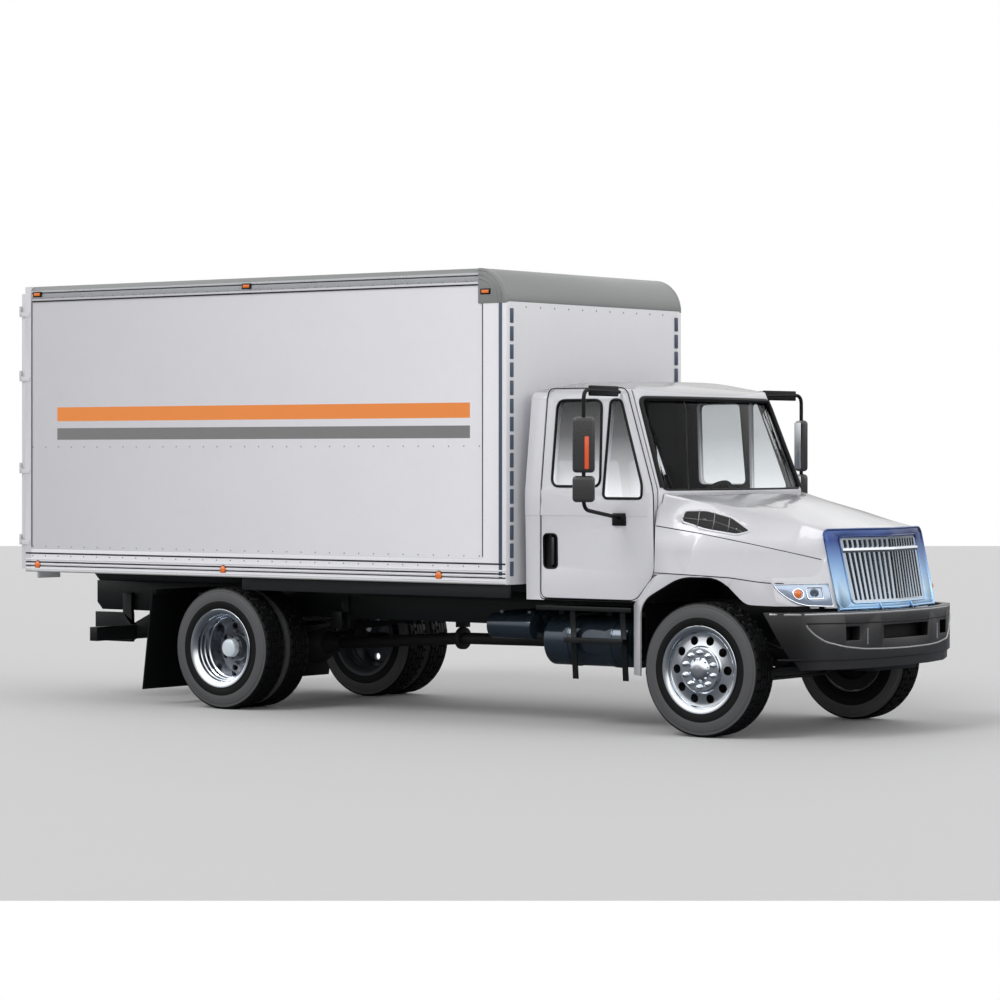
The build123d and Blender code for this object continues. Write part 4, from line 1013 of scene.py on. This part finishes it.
def screenPlace(y, z):
    t = (z - cabTrim["waist"]) / cabTrim["windowHeight"]
    cornerX, cornerY, middleX = -482 - 330 * t, 1000 - 80 * t, -355 - 350 * t
    return spot(middleX - (middleX - cornerX) * (y / cornerY) ** 2, y, z)


def sidePipe(side, name, corner, radius, out=0.0):
    flatPath = subdivided(roundedPath(cabTrim[name], corner), 120, True)
    return pipe([onSide(side, p.x, p.y, out) for p in flatPath], radius, True)


def makeDoorTrim(side, hand):
    body = "door_" + hand
    seals = [sidePipe(side, "mainWindow", 70, cabTrim["windowSeal"], 1),
             sidePipe(side, "ventWindow", 40, cabTrim["windowSeal"], 1),
             sidePipe(side, "door", 60, cabTrim["doorLine"], -1.5),
             sidePipe(side, "handle", 40, cabTrim["handleLine"])]
    finishPiece(joined(seals), "doorSeals_" + hand, body, "sealBlack")
    grip = blockAt(*cabTrim["grip"], onSide(side, -1470, 1364, -9), segments=3)
    finishPiece(grip, "handleGrip_" + hand, body, "mirrorShell")
    pane = [spot(p.x, side * (upperDoorY(p.y) - cabTrim["paneIn"]), p.y)
            for p in roundedPath(cabTrim["ventWindow"], 40)]
    pane = plate(pane, (0, -side * cabTrim["paneThick"], 0))
    finishPiece(pane, "ventPane_" + hand, body, "sideGlass", (), 0)


for side, hand in sides:
    makeDoorTrim(side, hand)
screenPath = [screenPlace(p.x, p.y) for p in subdivided(roundedPath(cabTrim["screen"], 60), 45, True)]
finishPiece(pipe(screenPath, cabTrim["screenFoot"], True), "screenFootSeal", "chassis",
            "sealBlack")
upper = [screenPlace(p.x, p.y) for p in subdivided(roundedPath(cabTrim["screenTop"], 60, False), 45)]
finishPiece(pipe(upper, cabTrim["screenSeal"], False, 3), "screenSeal", "chassis",
            "sealBlack")

mirror = {
    "place": (-820, 1550),
    "turn": 37,
    "wide": 0.17,
    "deep": 0.066,
    "heads": [(1.974, 2.394), (1.752, 1.951)],
    "round": 0.03,
    "arm": [(-868, 1010, 2590), (-820, 1550, 2600), (-820, 1550, 1698), (-830, 1062, 1628)],
    "armRadius": 0.015,
    "bracket": (0.022, 0.43, 0.08),
    "bracketTurn": 0.089,
    "foot": (0.118, 0.03, 0.096),
    "strip": (0.032, 0.006, 0.245),
    "stripPlace": (0.022, 2.125),
    "paneEdges": (0.034, 0.04),
}


def makeMirror(side, hand):
    body = "door_" + hand
    replaced = ("mirror_" + hand,)
    x, y = mirror["place"]
    wide, deep = mirror["wide"], mirror["deep"]
    arm = roundedPath([spot(px, side * py, pz) for px, py, pz in mirror["arm"]], 0.075, False, 8)
    bracket = blockAt(mirror["bracket"], 0.006, spot(-846, side * 1252, 2594),
                      Matrix.Rotation(-mirror["bracketTurn"] * side, 4, "Z"))
    foot = blockAt(mirror["foot"], 0.006, spot(-830, side * 1068, 1615))
    finishPiece(joined([pipe(arm, mirror["armRadius"], False, 3), bracket, foot]), "mirrorArm_" + hand, body,
                "sealBlack", replaced)
    turn = turned(-mirror["turn"] * side, "Z")
    heads, panes = [], []
    for low, high in mirror["heads"]:
        place = spot(x, side * y, 0) + Vector((0, 0, (low + high) / 2))
        heads.append(blockAt((wide, deep, high - low), mirror["round"], place, turn, 5))
        lessWide, lessHigh = mirror["paneEdges"]
        panes.append(blockAt((wide - lessWide, 0.005, high - low - lessHigh), 0.002, place,
                             turn @ at((0, -side * deep / 2, 0))))
    finishPiece(joined(heads), "mirrorHeads_" + hand, body, "mirrorShell", replaced, 60)
    finishPiece(joined(panes), "mirrorPanes_" + hand, body, "brightChrome", replaced)
    aside, height = mirror["stripPlace"]
    strip = blockAt(mirror["strip"], 0.002, spot(x, side * y, 0) + Vector((0, 0, height)),
                    turn @ at((aside, side * deep / 2, 0)))
    finishPiece(strip, "mirrorReflector_" + hand, body, "reflectorRed", replaced)


for side, hand in sides:
    makeMirror(side, hand)

seat = {
    "places": {"driver": (450, 0.52), "passenger": (-400, 0.82)},
    "cushion": {"length": 0.525, "thick": 0.125, "crown": 0.02, "middle": (-1290, 1368), "lean": -2.2},
    "back": {"length": 0.64, "thick": 0.085, "crown": 0.018, "middle": (-1560, 1755), "lean": 81},
    "base": (0.4, 0.12, 0.29),
    "baseMiddle": (-1270, 1184),
    "seams": (-0.3, 0.3),
    "seamDepth": 0.01,
    "seamWidth": 0.018,
    "pullEnds": 0.018,
    "pullSides": 0.014,
    "round": 0.045,
}


def makeCushion(kind, y, width):
    # a crowned pad whose rounded sides pull in between its corners, with two sewn channels
    settings = seat[kind]
    length = settings["length"]
    pad = blockAt((length, width, settings["thick"]), seat["round"], (0, 0, 0), segments=5)
    inEditMode(pad, lambda: (selectAll(), bpy.ops.mesh.subdivide(number_cuts=9)))
    for vertex in pad.data.vertices:
        u, v = vertex.co.x * 2 / length, vertex.co.y * 2 / width
        inAlong, inAcross = 1 - min(1, u * u), 1 - min(1, v * v)
        seams = sum(math.exp(-((v - place) * width / seat["seamWidth"]) ** 2) for place in seat["seams"])
        if vertex.co.z > 0:
            vertex.co.z += inAlong * inAcross * settings["crown"] - seams * seat["seamDepth"] * (1 - u ** 4)
        vertex.co.x *= 1 - seat["pullEnds"] * inAcross
        vertex.co.y *= 1 - seat["pullSides"] * inAlong
    x, z = settings["middle"]
    return moved(pad, at(spot(x, y, z)) @ turned(settings["lean"], "Y"))


bases = []
for name, (y, width) in seat["places"].items():
    for kind in ("cushion", "back"):
        pad = finishPiece(makeCushion(kind, y, width), "seat_" + kind + "_" + name, "chassis",
                          "seatCloth", ("seats",), 60)
    deep, inset, tall = seat["base"]
    x, z = seat["baseMiddle"]
    bases.append(blockAt((deep, width - inset, tall), 0.02, spot(x, y, z)))
finishPiece(joined(bases), "seatBases", "chassis", "blackPlastic", ("seats",))
print("cab trim made")

# Hood: lines of painted shade, vents, lamps and grille trim
hoodTrim = {
    "crease": [(-500, 1056, 1571), (-150, 1008, 1520), (250, 925, 1445), (560, 820, 1378), (770, 735, 1330)],
    "fender": [(-500, 1090, 1215), (-150, 1195, 1212), (250, 1207, 1198), (560, 1160, 1165),
               (650, 1100, 1160)],
    "vent": [(-302, 1604), (-294, 1688), (-130, 1690), (70, 1636), (236, 1536), (140, 1508), (-100, 1546)],
    "ventBars": [[(-180, 1692), (-168, 1566)], [(-62, 1672), (-48, 1540)], [(54, 1640), (70, 1520)],
                 [(-298, 1632), (-60, 1608), (176, 1530)]],
}
hoodSkin = skinOf("hood")
ventSkin = skinOf("hood", "hood_vents")


def makeHoodTrim(side, hand):
    way = (0, -side, 0)
    lines = []
    # painted shade: black lines along the hood's crease and fender line
    for name in ("crease", "fender"):
        path = subdivided([spot(x, side * y, z) for x, y, z in hoodTrim[name]], 0.04)
        lines.append(pipe(laid(hoodSkin, path, way, -0.001), 0.0042, False, 1))
    finishPiece(joined(lines), "hoodLines_" + hand, "hood", "sealBlack")
    outline = subdivided(roundedPath(ventSpots(side, hoodTrim["vent"]), 0.03), 0.03, True)
    finishPiece(pipe(laid(ventSkin, outline, way, 0.002), 0.0085, True), "ventRim_" + hand, "hood",
                "cabPaint")
    finishPiece(plate(outline, (0, -side * 0.008, 0), ventSkin, 0.005), "ventScreen_" + hand, "hood",
                "sealBlack", (), 20)
    bars = [pipe(laid(ventSkin, subdivided(ventSpots(side, bar), 0.03), way, 0.006), 0.0055, False, 1)
            for bar in hoodTrim["ventBars"]]
    finishPiece(joined(bars), "ventBars_" + hand, "hood", "mirrorShell")


def ventSpots(side, points):
    return [spot(x, side * 1150, z) for x, z in points]


for side, hand in sides:
    makeHoodTrim(side, hand)


def between(rows, y):
    # the distance forward at a distance from the middle, from rows of both in millimetres
    y = abs(y)
    for (y0, x0), (y1, x1) in zip(rows, rows[1:]):
        if y <= y1:
            break
    return x0 + (x1 - x0) * (y - y0) / (y1 - y0)


def onNose(y, z, out=0.0):
    # a place on the nose's front face
    t = (z - 400) / 1500
    rows = [(0, 1075 - 229 * t), (720, 1023 - 343 * t), (1180, 768 - 343 * t), (1400, 740 - 343 * t)]
    return spot(between(rows, y) + out, y, z)


def nosePipe(points, step, out, radius, closed=False):
    return pipe([onNose(p.x, p.y, out) for p in subdivided(points, step, closed)], radius, closed)


grilleTrim = {
    "bar": [(-552, 1394), (0, 1394), (552, 1394)],
    "opening": [(-543, 1000), (-569, 1496), (569, 1496), (543, 1000)],
    "edge": [(-712, 962), (-720, 1550), (720, 1550), (712, 962)],
    "foot": [(-705, 960), (0, 956), (705, 960)],
}
finishPiece(nosePipe(grilleTrim["bar"], 90, 1, 0.0225), "grilleLevelBar", "hood",
            "brightChrome")
innerEdge = nosePipe(roundedPath(grilleTrim["opening"], 40), 60, 13, 0.007, True)
outerEdge = nosePipe(roundedPath(grilleTrim["edge"], 60), 60, 9, 0.01, True)
finishPiece(joined([innerEdge, outerEdge]), "grilleEdges", "hood", "grilleChrome")
finishPiece(nosePipe(grilleTrim["foot"], 60, 3, 0.014), "grilleFoot", "hood", "grilleChrome")

lampTrim = {
    "outline": [(745, 985), (750, 1154), (1160, 1152), (1125, 1098), (1072, 1051), (1010, 1015), (937, 994)],
    "bulb": (988, 1082),
    "bulbRows": [(0.03, -0.004), (0.03, 0.004), (0.024, 0.012), (0.012, 0.017), (0.0002, 0.018)],
    "cup": 38,
    "reflector": (868, 1084),
    "dishRows": [(0.036, -0.004), (0.036, 0.003), (0.028, 0.006), (0.012, 0.004), (0.0002, 0.003)],
    "frame": [(-62, -42), (-62, 44), (58, 44), (58, -42)],
}


def makeLampTrim(side, hand):
    def mirrored(points):
        return [(side * p[0], p[1]) for p in points]

    rim = nosePipe(mirrored(roundedPath(lampTrim["outline"], 14)), 60, 3, 0.0045, True)
    ry, rz = lampTrim["reflector"]
    frame = roundedPath([(ry + y, rz + z) for y, z in lampTrim["frame"]], 16)
    ring = nosePipe(mirrored(frame), 40, 4, 0.006, True)
    y, z = lampTrim["bulb"]
    turns = [i * math.pi / 12 for i in range(24)]
    cup = [(math.cos(turn) * lampTrim["cup"] + y, math.sin(turn) * lampTrim["cup"] + z) for turn in turns]
    cup = pipe([onNose(side * a, b, 4) for a, b in cup], 0.005, True)
    finishPiece(joined([rim, ring, cup]), "lampRims_" + hand, "hood", "brightChrome")
    lean = facing((0.86, side * 0.5, 0))
    bulb = moved(ringTower(lampTrim["bulbRows"], 20), at(onNose(side * y, z, 2)) @ lean)
    finishPiece(bulb, "turnBulb_" + hand, "hood", "amberLens")
    dish = moved(ringTower(lampTrim["dishRows"], 28), at(onNose(side * ry, rz, 2)) @ lean)
    finishPiece(dish, "lampDish_" + hand, "hood", "lampShade")


for side, hand in sides:
    makeLampTrim(side, hand)
print("hood trim made")

# Front bumper: the raised curve and top edge line in painted highlight, the dark lines and screen of painted
# shade, and the upright clips
bumperTrim = {
    "rows": [(0, 1075), (380, 1063), (760, 985), (1090, 830), (1185, 700), (1218, 560)],
    "smile": [(1068, 858), (1055, 835), (1010, 790), (920, 732), (757, 690), (550, 668), (250, 660),
              (0, 658)],
    "smileTop": [(1062, 868), (760, 864), (0, 860)],
    "groove": [(1190, 600), (760, 600), (0, 598)],
    # rim: a painted highlight line along the bumper's top edge
    "rim": [(1205, 934), (760, 934), (0, 934)],
    "clips": (520, range(700, 830, 20)),
    "guard": {"size": (0.89, 0.64, 0.08), "middle": (530, 0, 526)},
    "back": [(875, -790), (898, -728), (973, -370), (981, 0)],
    "backHeight": (712, 0.15),
    "backThick": 0.01,
}


def bumperPipe(points, radius, out):
    whole = roundedPath(points + [(-y, z) for y, z in points[::-1][1:]], 40, False, 3)
    return pipe([bumperPlace(p.x, p.y, out) for p in subdivided(whole, 45)], radius)


def bumperPlace(y, z, out):
    return spot(between(bumperTrim["rows"], y) + out, y, z)


# painted highlight: the raised curve and a line along the top edge in light grey
finishPiece(bumperPipe(bumperTrim["smile"], 0.007, 0), "bumperCurve", "chassis", "bumperEdge")
# painted shade: black lines under the curve's top and in the groove
lines = [bumperPipe(bumperTrim["smileTop"], 0.006, -2), bumperPipe(bumperTrim["groove"], 0.009, -9)]
finishPiece(joined(lines), "bumperShadeLines", "chassis", "sealBlack")
finishPiece(bumperPipe(bumperTrim["rim"], 0.01, -6), "bumperHighlightLine", "chassis", "bumperEdge")
# painted shade: a dark sheet behind the bumper's openings
backLine = bumperTrim["back"] + [(x, -y) for x, y in bumperTrim["back"][::-1][:-1]]
foot, tall = bumperTrim["backHeight"]
behind = [spot(x, y, foot) for x, y in backLine]
behind += [p - Vector((bumperTrim["backThick"], 0, 0)) for p in behind[::-1]]
finishPiece(plate(behind, (0, 0, tall)), "bumperShadeScreen", "chassis", "sealBlack", (), 0)
guard = bumperTrim["guard"]
finishPiece(blockAt(guard["size"], 0.012, spot(*guard["middle"])), "engineGuard", "chassis",
            "frameBlack")
y, heights = bumperTrim["clips"]
clips = [pipe([bumperPlace(side * y, z, 3) for z in heights], 0.006) for side, hand in sides]
finishPiece(joined(clips), "bumperClips", "chassis", "brightChrome")
print("bumper trim made")

# Load body: ribs, rivets, slotted edges and corner castings
bodyTrim = {
    "half": 1220,
    "lowEnds": (-7000, -1800),
    "highEnds": (-6930, -2062),
    "ribs": [(1258, 0.0065, "sealBlack"), (1207, 0.007, "postWhite"), (1182, 0.006, "sealBlack"),
             (1165, 0.006, "postWhite"), (1149, 0.005, "sillDark"), (1126, 0.007, "postWhite"),
             (1102, 0.005, "roofAlloy"), (3440, 0.006, "sealBlack"), (3512, 0.005, "sillDark")],
    "ribSlots": {"sealBlack": "rubber_black", "sillDark": "dark_metal", "roofAlloy": "roof_grey",
                 "postWhite": "body_alloy"},
    "rivetRows": [(1318, 0.153, 1214), (1236, 0.153, 1220), (2178, 0.15, 1214), (3470, 0.12, 1220)],
    "rivetEnds": (-6920, -2060),
    "slots": {"top": 3.252, "low": 1.13, "pitch": 0.141, "height": 0.114, "width": 0.046, "y": 1.15},
    "capRivets": {"y": 0.955, "z": 3.268, "pitch": 0.2},
    "postLine": (-1848, 2220),
    "postSize": (0.032, 0.006, 2.15),
    "uprights": [(-2024, 1220, 3440), (-6934, 1216, 3430)],
}


def makeBodyTrim(side, hand):
    half = side * bodyTrim["half"]
    byFinish = {}
    for z, radius, finish in bodyTrim["ribs"]:
        rear, front = bodyTrim["lowEnds" if z < 3000 else "highEnds"]
        byFinish.setdefault(finish, []).append(pipe([spot(rear, half, z), spot(front, half, z)], radius))
    for finish, lines in byFinish.items():
        finishPiece(joined(lines), "sideLines_" + finish + "_" + hand, "chassis", finish)
    places = []
    rear, front = bodyTrim["rivetEnds"]
    for z, pitch, y in bodyTrim["rivetRows"]:
        places += row(spot(rear, side * y, z), spot(front, side * y, z), pitch)
    heads = rivets(places, (0, side, 0), 0.0065)
    finishPiece(heads, "sideRivets_" + hand, "chassis", "rivetGrey")
    x, z = bodyTrim["postLine"]
    frontLine = blockAt(bodyTrim["postSize"], 0.002, spot(x, half + side, z))
    finishPiece(frontLine, "postLine_" + hand, "chassis", "slotBlue")
    thin = [pipe([spot(x, side * y, 1312), spot(x, side * y, z)], 0.0035, False, 1)
            for x, y, z in bodyTrim["uprights"]]
    finishPiece(joined(thin), "sideUprights_" + hand, "chassis", "sealBlack")


for side, hand in sides:
    makeBodyTrim(side, hand)


def makeSlots():
    slots = bodyTrim["slots"]
    count = int((slots["top"] - slots["low"]) / slots["pitch"])
    block = blockAt((0.006, slots["width"], slots["height"]), 0.002, (0, 0, 0))
    top = slots["top"] - slots["height"] / 2
    places = [(frontAxle - 1.7915, side * slots["y"], top - i * slots["pitch"])
              for side, hand in sides for i in range(count)]
    return repeated(block, [at(place) for place in places])


finishPiece(makeSlots(), "frontSlots", "chassis", "slotBlue")
settings = bodyTrim["capRivets"]
ends = [Vector((frontAxle - 1.796, side * settings["y"], settings["z"])) for side in (-1, 1)]
finishPiece(rivets(row(*ends, settings["pitch"]), (1, 0, 0), 0.008), "frontRivets", "chassis",
            "rivetGrey")

casting = {
    "radius": 266,
    "ribs": (180, 215, 250),
    "centre": (-2057, 3305),
    "back": -2066,
    "low": 3292,
    "inner": 1190,
    "outer": 1226,
}


def quarterRound(radius, steps):
    # a quarter circle about the casting's centre, from the top to the front, as x and z
    cx, cz = casting["centre"]
    turns = [i * math.pi / 2 / steps for i in range(steps + 1)]
    return [(cx + math.sin(turn) * radius, cz + math.cos(turn) * radius) for turn in turns]


def makeCasting(side):
    # the roof's front corner: a quarter round plate over the cap's end, with three ribs
    (cx, cz), radius, low, back = casting["centre"], casting["radius"], casting["low"], casting["back"]
    outline = quarterRound(radius, 14) + [(cx + radius, low), (back, low), (back, cz + radius)]
    thick = side * (casting["outer"] - casting["inner"]) / 1000
    obj = bevelled(plate([spot(x, side * casting["inner"], z) for x, z in outline], (0, thick, 0)), 0.006)
    ribs = [pipe([spot(x, side * casting["outer"], z) for x, z in quarterRound(reach, 12)], 0.006)
            for reach in casting["ribs"]]
    return joined([obj] + ribs)


for side, hand in sides:
    finishPiece(makeCasting(side), "roofCorner_" + hand, "chassis", "roofAlloy")

# Marker and tail lamps
lampShapes = {
    "base": (0.1, 0.01, 0.046),
    "lens": (0.07, 0.014, 0.026),
    "roundBase": [(0.0002, 0), (0.036, 0), (0.036, 0.004), (0.0002, 0.005)],
    "round": [(0.031, 0), (0.031, 0.005), (0.026, 0.006), (0.025, 0.01), (0.017, 0.015), (0.0002, 0.016)],
    "upperHeight": 2.5,
    "tail": (0.024, 0.27, 0.062),
    "tailLens": [(0.026, 0), (0.026, 0.006), (0.018, 0.011), (0.0002, 0.012)],
}


def nodeIslands(name):
    # the middle of each separate solid of a CAD node
    def separate():
        selectAll()
        bpy.ops.mesh.remove_doubles(threshold=0.0001)
        bpy.ops.mesh.separate(type="LOOSE")

    inEditMode(nodeCopy(name), separate)
    middles = []
    for part in list(bpy.context.selected_objects):
        corners = [v.co for v in part.data.vertices]
        middle = [(min(c[i] for c in corners) + max(c[i] for c in corners)) / 2 for i in range(3)]
        middles.append(Vector(middle))
        bpy.data.objects.remove(part)
    return sorted(middles, key=lambda m: tuple(round(v, 4) for v in m))


def makeMarkers():
    bases, lenses = [], []
    for middle in nodeIslands("marker_lamps"):
        side = 1 if middle.y > 0 else -1
        if middle.z > lampShapes["upperHeight"]:
            bases.append(blockAt(lampShapes["base"], 0.003, middle - Vector((0, side * 0.003, 0))))
            lenses.append(blockAt(lampShapes["lens"], 0.004, middle + Vector((0, side * 0.001, 0))))
        else:
            place = at(middle - Vector((0, side * 0.008, 0))) @ turned(-90 * side, "X")
            bases.append(moved(ringTower(lampShapes["roundBase"], 24), place))
            lenses.append(moved(ringTower(lampShapes["round"], 24), place))
    finishPiece(joined(bases), "markerBases", "chassis", "sealBlack", ("marker_lamps",))
    finishPiece(joined(lenses), "markerLenses", "chassis", "amberLens", ("marker_lamps",))


makeMarkers()
tails, lenses = [], []
for middle in nodeIslands("tail_lamps"):
    top = Vector((middle.x, middle.y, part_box("tail_lamps")[1][2] - lampShapes["tail"][2] / 2))
    tails.append(blockAt(lampShapes["tail"], 0.006, top))
    for shift in (-0.07, 0.07):
        place = at(top + Vector((-0.01, shift, 0))) @ turned(-90, "Y")
        lenses.append(moved(ringTower(lampShapes["tailLens"], 24), place))
finishPiece(joined(tails), "tailLampBoxes", "chassis", "wallPaint", ("tail_lamps",))
finishPiece(joined(lenses), "tailLampLenses", "chassis", "redLens", ("tail_lamps",))
print("body trim made")
